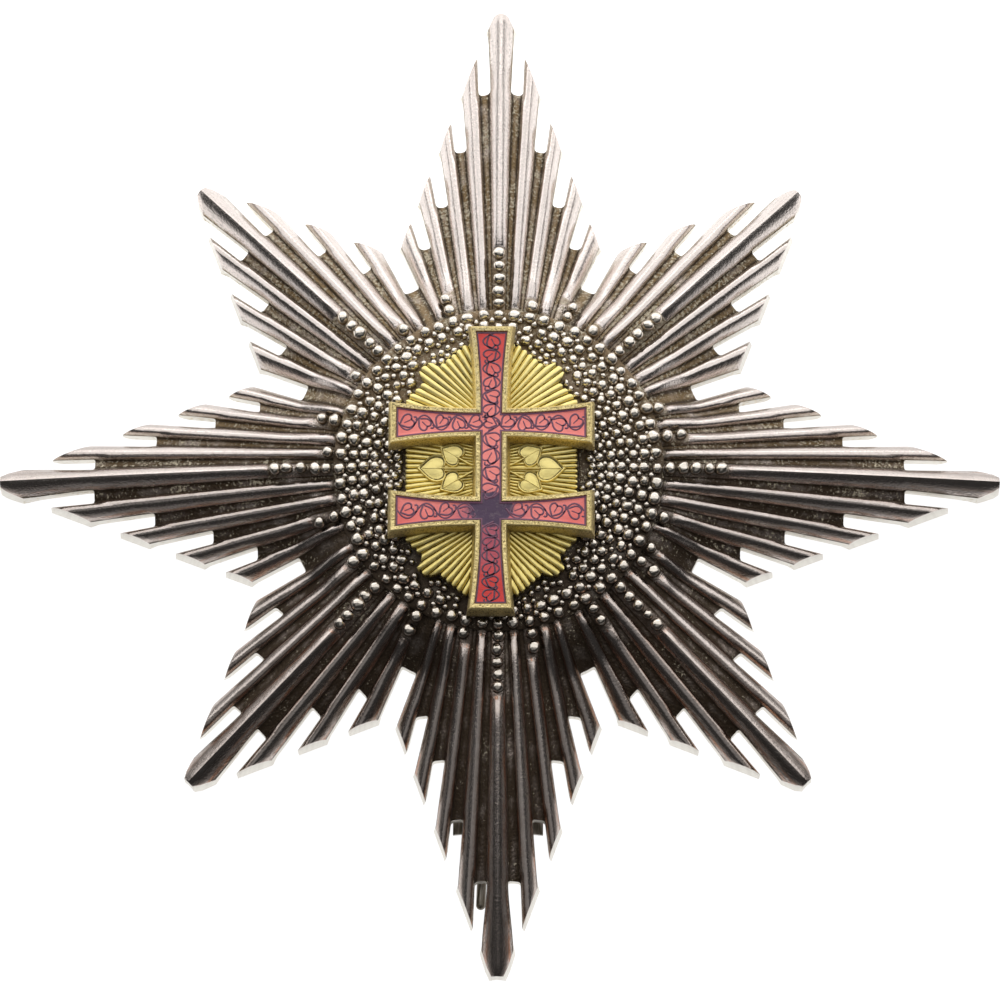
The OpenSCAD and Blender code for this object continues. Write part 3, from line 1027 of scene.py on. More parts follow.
    def on_outline(self, line: Line, arm: Arm) -> float:
        """Where a line runs out of the front's outline.

        Args:
            line: A function from y to x.
            arm: The arm.

        Returns:
            The y of that place.
        """
        low, high = ROOT_Y, arm.tip_r + 1
        for _ in range(40):
            y = (low + high) / 2
            inside = float(arm.rim_gap(line(np.float64(y)), y)) > self.form.lean
            low, high = (y, high) if inside else (low, y)
        return low

    def stations(self, line: Line, foot_y: float, start_r: float) -> np.ndarray:
        """The places along a foot line, from the disc to its slot's foot.

        Args:
            line: The foot line.
            foot_y: The y at which the slot's round corner ends.
            start_r: Radius at which the ray starts.

        Returns:
            Their y values, FOOT_ROWS in all.
        """
        radii = (self.disc_r, start_r - 0.3, start_r, start_r + 0.18, start_r + self.rise_run)
        inner = [self.on_circle(line, r) for r in radii]
        return np.concatenate([inner, np.linspace(inner[-1], foot_y - 0.6, 9)[1:], [foot_y]])

    @staticmethod
    def outer_stations(foot_y: float, end_y: np.ndarray | float) -> np.ndarray:
        """The places along a line beyond its slot's foot, with one close to its cut end."""
        share = np.concatenate([np.linspace(0, 1, 9)[1:-1], [0.985, 1.0]])
        return foot_y + np.multiply.outer(share, end_y - foot_y)

    def start_of(self, number: int) -> float:
        """Radius at which a ray starts."""
        return self.ray_in + self.bead_step * self.beads_on.get(number % RAYS, 0)

    def ray_patch(self, arm: Arm, place: int, number: int) -> Patch:
        """The strip of points over one ray.

        Args:
            arm: The arm.
            place: The ray's place from the arm's middle ray.
            number: The ray's number, clockwise from the upright arm's middle ray.

        Returns:
            The strip in the star's frame.
        """
        lines, feet = self.ray_sides(arm, place)
        middle = place == 0
        u = np.array(self.across)
        share = (u + 1) / 2
        start_r = self.middle_in if middle else self.start_of(number)
        sides = []
        for line, foot in zip(lines, feet):
            foot += Arm.corner if foot == arm.edge.foot_y else arm.corner
            inner = self.stations(line, foot, start_r)
            y = np.concatenate([inner, self.outer_stations(foot, self.on_outline(line, arm))])
            sides.append((line(y), y))
        x = sides[0][0][:, None] * (1 - share) + sides[1][0][:, None] * share
        y = sides[0][1][:, None] * (1 - share) + sides[1][1][:, None] * share
        if middle:
            tip, foot = arm.tip_r - arm.trim, feet[0] + arm.corner
            shoulder = tip - arm.cut
            wide = float(lines[1](shoulder)) + arm.widen
            cut = np.clip((np.abs(u) * wide - self.tip_half) / (wide - self.tip_half), 0, 1)
            rows = self.outer_stations(foot, tip - arm.cut * cut**1.15 - 0.12 * u * u)
            y[-len(rows):] = rows
            reach = smooth((rows - foot) / (shoulder - foot)) * arm.widen
            x[-len(rows):] = u * (lines[1](np.minimum(rows, shoulder)) + reach)
        r = np.hypot(x, y)
        lift = smooth((r - start_r) / self.rise_run)
        full = self.ray_h_in + (self.ray_h - self.ray_h_in) * (y - ROOT_Y) / (y[-1] - ROOT_Y)
        profile = np.array(self.crest if middle else self.section)
        rise = (self.low + (full - self.low) * lift) * profile
        rise[-1] -= 0.07
        hollow = np.maximum((1 - np.clip(profile, 0, 1)) ** 1.5 * np.ones_like(x), (1 - lift) * 0.75)
        hollow[-1] = 0.0
        return Patch(*turned(x, y, -arm.turn), rise, hollow)

    def floor_patch(self, left: Patch, right: Patch, corner: float) -> Patch:
        """The strip of points over a groove's floor, with round corners at the slot's foot.

        Args:
            left: The ray on its left.
            right: The ray on its right.
            corner: Radius of the corners.

        Returns:
            The strip.
        """
        u = np.array(self.floor_across)
        share = (u + 1) / 2
        xa, ya = left.x[:FOOT_ROWS, -1], left.y[:FOOT_ROWS, -1]
        xb, yb = right.x[:FOOT_ROWS, 0], right.y[:FOOT_ROWS, 0]
        x = xa[:, None] * (1 - share) + xb[:, None] * share
        y = ya[:, None] * (1 - share) + yb[:, None] * share
        half = math.hypot(xa[-1] - xb[-1], ya[-1] - yb[-1]) / 2
        bend = np.clip((np.abs(u) * half - half + corner) / corner, 0, 1)
        pull = corner * np.sqrt(1 - bend**2)
        middle = np.array([xa[-1] + xb[-1], ya[-1] + yb[-1]])
        out = middle / np.linalg.norm(middle)
        x[-1] -= out[0] * pull
        y[-1] -= out[1] * pull
        rise = np.tile(-0.05 * (1 - u**4), (len(x), 1))
        rise[-1] -= 0.03 * (1 - np.abs(u) ** 8)
        # Hollowness rises to 1 at a floor's edges and darkens the feet of the rays: partly tarnish, partly
        # painted shade in the crease.
        hollow = np.tile(0.84 + 0.16 * np.abs(u) ** 1.5, (len(x), 1))
        return Patch(x, y, rise, hollow)

    def build(self) -> bpy.types.Object:
        """Builds the whole star as one closed mesh.

        Returns:
            The object.
        """
        rays: list[Patch] = []
        corners: list[float] = []
        for number, (trim, widen, corner, cut) in enumerate(self.arms):
            kind = SHORT if number % 2 else LONG
            arm = replace(kind, turn=45.0 * number, trim=trim, widen=widen, corner=corner, cut=cut)
            last = len(kind.grooves)
            for place in range(-last, last + 1):
                rays.append(self.ray_patch(arm, place, number * RAYS // 8 + place))
                corners.append(Arm.corner if place == last else corner)
        floors = [self.floor_patch(*pair) for pair in zip(rays, rays[1:] + rays[:1], corners)]
        patches = [p for pair in zip(rays, floors) for p in pair]
        ring_x = np.concatenate([p.x[0, :-1] for p in patches])
        ring_y = np.concatenate([p.y[0, :-1] for p in patches])
        ring_x, ring_y = np.append(ring_x, ring_x[0]), np.append(ring_y, ring_y[0])
        scale = np.array([1.0, 0.93, 0.75, 0.5, 0.25, 0.0])[:, None]
        flat = np.ones((len(scale), len(ring_x)))
        disc = Patch(ring_x * scale, ring_y * scale, -0.05 * flat, 0.8 * flat)
        return lifted("star_rays", [*patches, disc], self.form.top, self.form.back, leaned=self.form.leaned)


@dataclass
class PearledField:
    """Rows of round beads round the medallion, on a thin collar.

    Args:
        star: The star that they stand on.
        ground: The gilt plate that they surround.
        rings: Radius and bead diameter of each ring.
        tongue: Radii of the beads on the arms' ridges.
        bead_d: Diameter of the outer beads.
        field_r: Radius outside which a bead stands on a ray.
        collar_in: The collar's inner radius.
        collar_out: Its outer radius.
        collar_t: Its thickness.
        gap: Clearance under it.
        lift: Height of a bead's centre above it.
        hem_d: Diameter of the small beads along the gilt plate.
        hem_gap: How far from the plate's edge their first row is.
        hem_row: How far their second row is from the first.
        hem_step: How far apart the places are that are tried along the edge.
        seed: Seed of the small irregularities.
    """

    star: RayedStar
    ground: "GiltGround"
    rings: tuple[tuple[float, float], ...] = (
        (8.25, 0.74), (9.10, 0.82), (10.0, 0.88), (10.96, 0.94), (11.98, 1.0), (13.05, 1.06), (14.15, 1.1),
    )
    tongue: tuple[float, ...] = (15.3, 16.45, 17.6, 18.75, 19.9)
    bead_d: float = 1.1
    field_r: float = 14.5
    collar_in: float = 7.25
    collar_out: float = 14.75
    collar_t: float = 0.35
    gap: float = 0.03
    lift: float = 0.2
    hem_d: float = 0.68
    hem_gap: float = 0.36
    hem_row: float = 0.6
    hem_step: float = 0.25
    seed: int = 7

    @property
    def raised(self) -> float:
        """Height of a bead's centre above the star's sheet."""
        return self.gap + self.collar_t + self.lift

    def sheet_z(self, x: float, y: float) -> float:
        """Height of the star's sheet at a point."""
        return float(self.star.form.top(np.float64(x), np.float64(y)))

    def bead_places(self) -> list[Bead]:
        """The beads' centres and diameters.

        Returns:
            For each bead its x, y, z and diameter.
        """
        rng = np.random.default_rng(self.seed)
        places: list[Bead] = []
        for row in range(RAYS):
            beads = list(self.rings)
            if row % 8 == 0:
                beads += [(r, self.bead_d) for r in self.tongue]
            else:
                more = range(self.star.beads_on.get(row, 0))
                beads += [(self.tongue[0] + self.star.bead_step * i, self.bead_d) for i in more]
            for r, d in beads:
                wander = rng.normal(0, 1, 4)
                far = r > self.field_r
                r += 0.07 * wander[0]
                angle = 360 * row / RAYS + math.degrees((0.03 if far else 0.07) * wander[1] / r)
                if far and row % 8 == 4:
                    angle += 1.2
                x, y = (float(v) for v in turned(np.float64(0), np.float64(r), -angle))
                d *= 1.02 + 0.06 * wander[2]
                if self.ground.covers(x, y, d / 2 + 0.04):
                    continue
                z = self.sheet_z(x, y) + self.raised - (0.04 if far else 0) + 0.03 * wander[3]
                places.append((x, y, z, d))
        places += self.between()
        for gap in (self.hem_gap, self.hem_gap + self.hem_row):
            places += self.hem(places, gap)
        return places

    def between(self) -> list[Bead]:
        """The small beads that stand between the rows.

        Returns:
            For each small bead its x, y, z and diameter.
        """
        rng = np.random.default_rng(self.seed + 2)
        made = []
        middles = [
            ((r + q) / 2, self.hem_d * (0.75 + 0.04 * i))
            for i, ((r, _), (q, _)) in enumerate(zip(self.rings, self.rings[1:]))
        ]
        for row in range(RAYS):
            for r, d in middles:
                angle = math.radians(360 * (row + 0.5) / RAYS + rng.normal(0, 0.4))
                r += rng.normal(0, 0.06)
                x, y = r * math.sin(angle), r * math.cos(angle)
                if not self.ground.covers(x, y, d / 2 + 0.04):
                    made.append((x, y, self.sheet_z(x, y) + self.gap + self.collar_t + d * 0.18, d))
        return made

    def hem(self, places: Sequence[Bead], gap: float) -> list[Bead]:
        """The small beads that fill the gaps along the gilt plate's edge.

        Args:
            places: The beads that stand there already.
            gap: How far from the plate's edge their centres are.

        Returns:
            For each bead its x, y, z and diameter.
        """
        made: list[Bead] = []
        outline = self.ground.outline() + np.array(self.ground.middle)
        for a, b in zip(outline, np.roll(outline, -1, 0)):
            run = b - a
            length = float(np.hypot(*run))
            out = np.array([run[1], -run[0]]) / length
            for i in range(int(length / self.hem_step)):
                x, y = (float(v) for v in a + run * (i + 0.5) * self.hem_step / length + out * gap)
                others = [*places, *made]
                near = (math.hypot(x - u, y - v) < (d + self.hem_d) * 0.45 for u, v, _, d in others)
                clear = self.ground.edge_gap(x, y) > gap - 0.03 and math.hypot(x, y) > self.collar_in + 0.4
                if clear and not any(near):
                    made.append((x, y, self.sheet_z(x, y) + self.raised, self.hem_d))
        return made

    def build_beads(self) -> bpy.types.Object:
        """Builds all the beads as one mesh.

        Returns:
            The object.
        """
        balls = {}
        for fine in (2, 3):
            shape = bmesh.new()
            bmesh.ops.create_icosphere(shape, subdivisions=fine, radius=0.5)
            ball_faces = np.array([[v.index for v in f.verts] for f in shape.faces])
            balls[fine] = (np.array([v.co for v in shape.verts]), ball_faces)
            shape.free()
        rng = np.random.default_rng(self.seed + 1)
        points, faces, tarnish_and_side_shade, start = [], [], [], 0
        for x, y, z, d in self.bead_places():
            ball, ball_faces = balls[3 if d > 0.72 else 2]
            dent = 1 + 0.035 * np.sin(ball @ rng.normal(0, 7, (3, 3)) + rng.uniform(0, 6, 3)).sum(1)
            size = (d * rng.normal(1, 0.05), d * rng.normal(1, 0.05), d * 0.98)
            points.append(ball * dent[:, None] * size + (x, y, z))
            faces += (ball_faces + start).tolist()
            # Each bead darkens towards its sides and underside: tarnish where it meets the collar, and
            # painted shade on its sides.
            tarnish_and_side_shade.append(smooth(0.7 - ball[:, 2] * 1.55))
            start += len(ball)
        made = mesh_object("beads", np.concatenate(points), faces, 80)
        mark_hollows(made, np.concatenate(tarnish_and_side_shade))
        return made

    def build_collar(self) -> bpy.types.Object:
        """Builds the collar under the beads.

        Returns:
            The object.
        """
        turns = np.radians(np.linspace(0, 360, 193))
        radii = np.array([self.collar_in, 9, 11, 12.5, 13.8, 14.5, self.collar_out])
        x, y = np.outer(radii, np.sin(turns)), np.outer(radii, np.cos(turns))
        ripple = 0.02 * np.sin(5 * x) * np.cos(4 * y)
        rise = self.gap + self.collar_t + ripple
        rise[-1] -= 0.12
        x[:, -1], y[:, -1], rise[:, -1] = x[:, 0], y[:, 0], rise[:, 0]
        patch = Patch(x, y, rise, np.full_like(x, 0.86))
        top = self.star.form.top
        return lifted("bead_collar", [patch], top, lambda a, b: top(a, b) + self.gap)


@dataclass
class GiltGround:
    """The gilt plate: fans of ridges with a toothed edge, and two sprigs of heart-shaped leaves.

    Args:
        middle: Where the medallion's centre is.
        base_z: Height of the plate's underside.
        thick: Its thickness.
        ridge: Height of its ridges.
        fan_back: How far across and below the bars' crossing a fan's ridges would meet.
        window_back: How far behind the upright the ridges between the bars would meet.
        leaves: Each leaf of a sprig: its notch's x and y, its turn in degrees, and its length.
        stalk_x: Where the stalks of a sprig meet.
        boss_z: Height of the underside of the round boss that carries the plate.
        boss_r: Radius of that boss.
        upper_bar: The y of the cross's upper bar, from the medallion's centre.
        lower_bar: The y of its lower bar.
        fan_turn: The angle of a corner's fan, in degrees.
        fan_ridges: How many ridges it has.
        fan_in: How far from where they would meet its ridges start.
        window_turn: The angle of the fan between the bars, in degrees.
        window_ridges: How many ridges it has.
        window_in: How far beside the upright's middle they start.
        window_tall: How much taller than the others they are.
        leaf_rings: Each ring of a leaf, from its edge inwards: its size, its height and how hollow it is.
        corner: A corner and side of its outline, from the medallion's centre.
    """

    middle: Plan = (-0.6, -0.45)
    base_z: float = 7.81
    thick: float = 0.8
    ridge: float = 0.32
    fan_back: Plan = (2.0, 1.1)
    window_back: float = 5.2
    leaves: tuple[tuple[float, float, float, float], ...] = (
        (4.25, 0.0, 0, 2.35), (2.85, 0.9, 31, 2.0), (2.85, -0.95, -31, 2.0),
    )
    stalk_x: float = 1.3
    boss_z: float = 7.48
    boss_r: float = 6.3
    upper_bar: float = 3.85
    lower_bar: float = -4.2
    fan_turn: float = 58.0
    fan_ridges: int = 15
    fan_in: float = 2.4
    window_turn: float = 51.0
    window_ridges: int = 24
    window_in: float = 0.9
    window_tall: float = 1.2
    leaf_rings: tuple[tuple[float, float, float], ...] = (
        (1.06, -0.25, 1.0), (1.02, 0.46, 0.4), (0.95, 0.54, 0.0), (0.88, 0.52, 0.15),
        (0.83, 0.41, 1.0), (0.77, 0.41, 0.55), (0.5, 0.46, 0.05), (0.0, 0.48, 0.05),
    )
    corner: tuple[Plan, ...] = (
        (7.70, 0), (7.70, 6.4), (6.15, 8.0), (6.60, 9.1), (5.75, 9.85), (4.70, 9.55),
        (3.05, 11.0), (2.40, 11.5), (0, 12.0),
    )

    @property
    def top_z(self) -> float:
        """Height of the plate's face, under the ridges."""
        return self.base_z + self.thick

    def outline(self) -> np.ndarray:
        """The outline's points, anticlockwise, from the medallion's centre."""
        right = [(x, -y) for x, y in self.corner[:0:-1]] + list(self.corner)
        return np.array(right + [(-x, y) for x, y in right[-2:0:-1]])

    def covers(self, x: float, y: float, r: float) -> bool:
        """Whether a round thing of radius r meets the plate.

        Args:
            x: Its x.
            y: Its y.
            r: Its radius.

        Returns:
            True if it does.
        """
        dx, dy = abs(x - self.middle[0]) - r, abs(y - self.middle[1]) - r
        _, side, notch, tooth, ear, *_, top, _ = self.corner
        ear_y = top[1] - (top[1] - ear[1]) * (dx - top[0]) / (ear[0] - top[0])
        return (
            (dx < side[0] and dy < side[1])
            or (dx < side[0] and dy < notch[1] and dx + dy < notch[0] + notch[1])
            or (dx < tooth[0] and dy < ear[1] and dx + dy < tooth[0] + tooth[1])
            or (dx < ear[0] and dy < max(ear[1], min(ear_y, top[1])))
        )

    def edge_gap(self, x: float, y: float) -> float:
        """Distance of a point from the nearest place on the outline.

        Args:
            x: Its x.
            y: Its y.

        Returns:
            The distance.
        """
        at = np.array([x, y]) - self.middle
        a = self.outline()
        run = np.roll(a, -1, 0) - a
        share = np.clip(((at - a) * run).sum(1) / (run * run).sum(1), 0, 1)
        return float(np.hypot(*(a + run * share[:, None] - at).T).min())

    def reach(self, origin: Plan, degrees: float) -> float:
        """How far the outline is from a point, in one direction.

        Args:
            origin: The point.
            degrees: The direction, from +X.

        Returns:
            The distance.
        """
        d = np.array([math.cos(math.radians(degrees)), math.sin(math.radians(degrees))])
        points = self.outline()
        best = 99.0
        for a, b in zip(points, np.roll(points, -1, 0)):
            e, w = b - a, a - np.array(origin)
            cross = d[0] * e[1] - d[1] * e[0]
            if abs(cross) > TINY:
                t = (w[0] * e[1] - w[1] * e[0]) / cross
                s = (w[0] * d[1] - w[1] * d[0]) / cross
                if t > 0.1 and -1e-6 <= s <= 1 + 1e-6:
                    best = min(best, t)
        return best

    def fan(
        self, origin: Plan, start: float, turn: float, count: int, r_in: float, seed: int,
        tall: float = 1.0,
    ) -> list[Patch]:
        """The strips over one fan of ridges.

        Args:
            origin: Where the ridges would meet.
            start: Direction of the fan's first edge, in degrees.
            turn: The angle of one ridge.
            count: How many ridges.
            r_in: Where they start.
            seed: Seed of their irregularities.
            tall: How much taller than the others these ridges are.

        Returns:
            One patch for each ridge.
        """
        rng = np.random.default_rng(seed)
        t = np.array([-1, -0.88, -0.66, -0.2, 0.4, 0.84, 1])
        profile = np.array([0, 0.5, 0.85, 1, 0.95, 0.62, 0])
        patches = []
        for i in range(count):
            angles = np.radians(start + turn * (i + 0.5 + t / 2))
            ends = np.array([self.reach(origin, math.degrees(a)) for a in angles])
            tooth = rng.uniform(0.02, 0.16)
            ends = ends - 0.05 - (0.16 + tooth) * np.abs(t) ** 1.6
            share = np.concatenate([np.linspace(0, 1, 9)[:-1], [0.97, 1.0]])[:, None]
            r = r_in + (ends - r_in) * share
            x, y = origin[0] + r * np.cos(angles), origin[1] + r * np.sin(angles)
            high = self.ridge * tall * (0.8 + 0.2 * rng.random())
            rise = np.ones_like(r) * profile * high * (0.7 + 0.3 * share)
            rise[-1] *= 0.75
            hollow = np.ones_like(r) * (1 - profile) ** 0.8
            patches.append(Patch(x + self.middle[0], y + self.middle[1], rise, hollow))
        return patches

    def flat(self, x: np.ndarray, y: np.ndarray) -> Patch:
        """A level patch of points from the medallion's centre."""
        return Patch(x + self.middle[0], y + self.middle[1], np.zeros_like(x), np.full_like(x, 0.9))

    def build_plate(self) -> bpy.types.Object:
        """Builds the plate with its fans.

        Returns:
            The object.
        """
        fans = []
        corners = (
            (1, self.upper_bar, 10), (-1, self.upper_bar, 112),
            (-1, self.lower_bar, 190), (1, self.lower_bar, 292),
        )
        for seed, (side, bar, start) in enumerate(corners):
            origin = (-self.fan_back[0] * side, bar - math.copysign(self.fan_back[1], bar))
            turn = self.fan_turn / self.fan_ridges
            fans.append(self.fan(origin, start, turn, self.fan_ridges, self.fan_in, seed))
        back = self.window_back
        for facing, x in ((0, -back), (180, back)):
            start, turn = facing - self.window_turn / 2, self.window_turn / self.window_ridges
            near, tall = back + self.window_in, self.window_tall
            fans.append(self.fan((x, 0.05), start, turn, self.window_ridges, near, 5 + facing, tall))
        face, foot = level(self.top_z), level(self.base_z)
        pieces = [lifted(f"fan_{i}", fan, face, foot, 0.6) for i, fan in enumerate(fans)]
        edge = np.concatenate([self.outline(), self.outline()[:1]]) * 0.985
        sheet = self.flat(*(np.outer((0.0, 0.5, 1.0), line) for line in edge.T))
        pieces.append(lifted("sheet", [sheet], level(self.top_z - 0.02), foot))
        turns = np.radians(np.linspace(0, 360, 49))
        radii = (0.0, 3.0, self.boss_r)
        boss = self.flat(np.outer(radii, np.cos(turns)), np.outer(radii, np.sin(turns)))
        boss.x[:, -1], boss.y[:, -1] = boss.x[:, 0], boss.y[:, 0]
        pieces.append(lifted("boss", [boss], level(self.base_z + 0.3), level(self.boss_z)))
        return joined(pieces, "ground_plate")

    def leaf(self, name: str, x: float, y: float, degrees: float, length: float) -> bpy.types.Object:
        """Builds one raised leaf with a rolled edge and a midrib.

        Args:
            name: The mesh's name.
            x: The notch's x from the medallion's centre.
            y: Its y.
            degrees: Where the tip points.
            length: The leaf's length.

        Returns:
            The object.
        """
        edge = heart(length)
        centre = np.array([length * 0.34, 0])
        points = []
        for size, h, _ in self.leaf_rings:
            px, py = turned(*(centre + (edge - centre) * size).T, degrees)
            ring = (px + x + self.middle[0], py + y + self.middle[1], np.full(len(px), self.top_z + h))
            points.append(np.stack(ring, 1))
        faces = ring_faces(len(points), len(edge), closed=False)
        made = mesh_object(name, np.concatenate(points), faces, 50)
        mark_hollows(made, np.repeat([row[2] for row in self.leaf_rings], len(edge)))
        return made

    def build_sprigs(self) -> bpy.types.Object:
        """Builds the two sprigs, three leaves and their stalks on each side.

        Returns:
            The object.
        """
        pieces = []
        for side in (1, -1):
            for number, (x, y, turn, length) in enumerate(self.leaves):
                name = f"leaf_{side}_{number}"
                way = np.array([side * math.cos(math.radians(turn)), math.sin(math.radians(turn))])
                notch = np.array([side * x, y])
                tip = notch + way * length * 0.8
                root = np.array([side * self.stalk_x, 0.12 * np.sign(turn)])
                bend = (notch + root) / 2 - (0, 0.05 * np.sign(turn))
                pieces.append(self.leaf(name, *notch, turn if side > 0 else 180 - turn, length))
                pieces.append(self.stalk(f"{name}_stalk", [root, bend, notch], 0.09))
                pieces.append(self.stalk(f"{name}_rib", [notch, (notch + tip) / 2, tip], 0.05))
        return joined(pieces, "ground_sprigs")

    def stalk(self, name: str, path: Sequence[np.ndarray], half: float) -> bpy.types.Object:
        """Builds a ridge of round section along a path on the plate.

        Args:
            name: The mesh's name.
            path: Points from the medallion's centre.
            half: Half its width.

        Returns:
            The object.
        """
        across, hollow = (-1.4, -0.9, -0.4, 0.4, 0.9, 1.4), (1.0, 0.5, 0.05, 0.05, 0.5, 1.0)
        heights = [self.top_z + h for h in (-0.2, 0.42, 0.56, 0.56, 0.42, -0.2)]
        return strip_object(name, np.array(path) + self.middle, half, across, heights, hollow)


def heart(length: float, steps: int = 9) -> np.ndarray:
    """The outline of a heart-shaped leaf that points along +X from its notch.

    Args:
        length: From the notch to the tip.
        steps: How many points each of its four curves has.

    Returns:
        The points, anticlockwise.
    """
    curves = (
        ((0.03, 0.0), (-0.18, 0.2), (-0.14, 0.5), (0.2, 0.53)),
        ((0.2, 0.53), (0.52, 0.56), (0.68, 0.3), (1.0, 0.0)),
    )
    t = np.linspace(0, 1, steps, endpoint=False)[:, None]
    shares = np.concatenate([(1 - t) ** 3, 3 * t * (1 - t) ** 2, 3 * t**2 * (1 - t), t**3], 1)
    upper = np.concatenate([shares @ np.array(curve) for curve in curves])
    lower = upper * (1, -1)
    return np.concatenate([lower, [[1.0, 0.0]], upper[:0:-1]]) * length


def joined(pieces: Sequence[bpy.types.Object], name: str) -> bpy.types.Object:
    """Joins objects into the first one.

    Args:
        pieces: The objects.
        name: The joined piece's name.

    Returns:
        The joined object.
    """
    bpy.ops.object.select_all(action="DESELECT")
    for piece in pieces:
        piece.select_set(True)
    bpy.context.view_layer.objects.active = pieces[0]
    bpy.ops.object.join()
    pieces[0].name = pieces[0].data.name = name
    return pieces[0]


@dataclass
class DoubleCross:
    """The double cross: a gilt frame with a cell of red enamel and its dark leaf scrolls.

    Args:
        middle: Where the medallion's centre is.
        base_z: Height of the frame's underside.
        thick: The frame's thickness.
        rim: Its border outside the enamel, at its foot.
        top_rim: The border at its top, less because its walls slope.
        cell: Depth of the cell that holds the enamel.
        upper_bar: The y of its upper bar, from the medallion's centre.
        lower_bar: The y of its lower bar.
        upright_half: Half the enamel's width in the upright, at the bars.
        upright_end: Half its width at the upright's ends.
        top_end_y: How far up the enamel reaches.
        foot_end_y: How far down it reaches.
        side_half: Half its width in a bar, at the upright.
        side_end: Half its width at the bars' ends.
        side_end_x: How far sideways it reaches.
        steps: How many steps a flared side has.
        outer_half: Half the width of a heart's outline, and of a curl.
        rib_half: Half the width of a heart's midrib.
        stem_half: Half the width of the winding stem.
        seed: Seed of the hearts' turns and sizes.
    """

    middle: Plan = (-0.6, -0.45)
    base_z: float = 8.64
    thick: float = 1.87
    rim: float = 0.75
    top_rim: float = 0.43
    cell: float = 0.3
    upper_bar: float = 3.85
    lower_bar: float = -4.2
    upright_half: float = 0.93
    upright_end: float = 1.4
    top_end_y: float = 12.2
    foot_end_y: float = 12.6
    side_half: float = 0.84
    side_end: float = 1.4
    side_end_x: float = 8.42
    steps: int = 10
    outer_half: float = 0.072
    rib_half: float = 0.046
    stem_half: float = 0.068
    seed: int = 11

    @property
    def top_z(self) -> float:
        """Height of the frame's top."""
        return self.base_z + self.thick

    @property
    def line_z(self) -> float:
        """Height of the dark lines' face."""
        return self.top_z - 0.13

    def _bar(self, start: float, end: float, narrow: float, wide: float, border: float) -> list[Plan]:
        """One flared side of a bar.

        Args:
            start: How far along the bar it starts.
            end: How far along the bar it ends.
            narrow: Half the bar's width at its start.
            wide: Half its width at its end.
            border: How much the bar is grown.

        Returns:
            For each point how far along the bar it is, and how far from the bar's middle line.
        """
        shares = (i / self.steps for i in range(self.steps + 1))
        return [(start + (end - start) * u, narrow + (wide - narrow) * u * u + border) for u in shares]

    def outline(self, border: float) -> np.ndarray:
        """The double cross's outline, grown by a border.

        Args:
            border: How much to grow it.

        Returns:
            The points, anticlockwise, always the same number.
        """
        def upright(bar_y: float, end_y: float) -> list[Plan]:
            """The side of the upright beyond one bar."""
            start = abs(bar_y) + self.side_half + border
            return self._bar(start, end_y + border, self.upright_half, self.upright_end, border)

        start, end = self.upright_half + border, self.side_end_x + border
        side = self._bar(start, end, self.side_half, self.side_end, border)

        def bar(y: float) -> list[Plan]:
            """The right half of one bar."""
            return [(a, y - b) for a, b in side] + [(a, y + b) for a, b in reversed(side)]

        right = (
            [(b, -a) for a, b in reversed(upright(self.lower_bar, self.foot_end_y)[1:])]
            + bar(self.lower_bar) + bar(self.upper_bar)
            + [(b, a) for a, b in upright(self.upper_bar, self.top_end_y)[1:]]
        )
        return np.array(right + [(-a, b) for a, b in reversed(right)])

    def walls(
        self, name: str, rows: Sequence[tuple[float, float, float]], filled: bool = False
    ) -> bpy.types.Object:
        """Builds a skin that runs round the cross through rows of border, height and hollowness.

        Args:
            name: The piece's name.
            rows: For each ring its border, its height and how hollow it is.
            filled: Whether the last ring is closed with a face, or else joined to the first.

        Returns:
            The object.
        """
        rings = []
        for border, z, _ in rows:
            ring = self.outline(border) + np.array(self.middle)
            rings.append(np.concatenate([ring, np.full((len(ring), 1), z)], 1))
        n = len(rings[0])
        faces = ring_faces(len(rings), n, closed=not filled)
        if filled:
            last = (len(rings) - 1) * n
            faces += [list(range(last, last + n)), list(reversed(range(n)))]
        made = mesh_object(name, np.concatenate(rings), faces, 42)
        mark_hollows(made, np.repeat([row[2] for row in rows], n))
        return made

    def build_frame(self) -> bpy.types.Object:
        """Builds the gilt frame.

        Returns:
            The object.
        """
        top, base, edge = self.top_z, self.base_z, self.top_rim
        floor = top - self.cell - 0.1
        return self.walls("cross_rim", [
            (self.rim, base, 1.0), (self.rim, base + 0.15, 0.9), (self.rim - 0.05, top - 1.0, 0.75),
            (edge + 0.1, top - 0.22, 0.6), (edge + 0.03, top - 0.06, 0.1), (edge - 0.03, top, 0.0),
            (edge - 0.09, top - 0.015, 0.72), (0.1, top - 0.015, 0.72), (0.05, top, 0.0),
            (0.01, top - 0.07, 0.6), (0.0, floor, 1.0), (-0.35, floor, 1.0), (-0.35, base, 1.0),
        ])

    def build_enamel(self) -> bpy.types.Object:
        """Builds the enamel, a little below the rim and curved up at its edge.

        Returns:
            The object.
        """
        top = self.top_z
        return self.walls("enamel_inlay", [
            (-0.03, top - self.cell - 0.08, 1.0), (-0.03, top - 0.09, 0.5), (-0.08, top - 0.12, 0.3),
            (-0.2, top - 0.15, 0.1), (-0.45, top - 0.16, 0.0),
        ], filled=True)

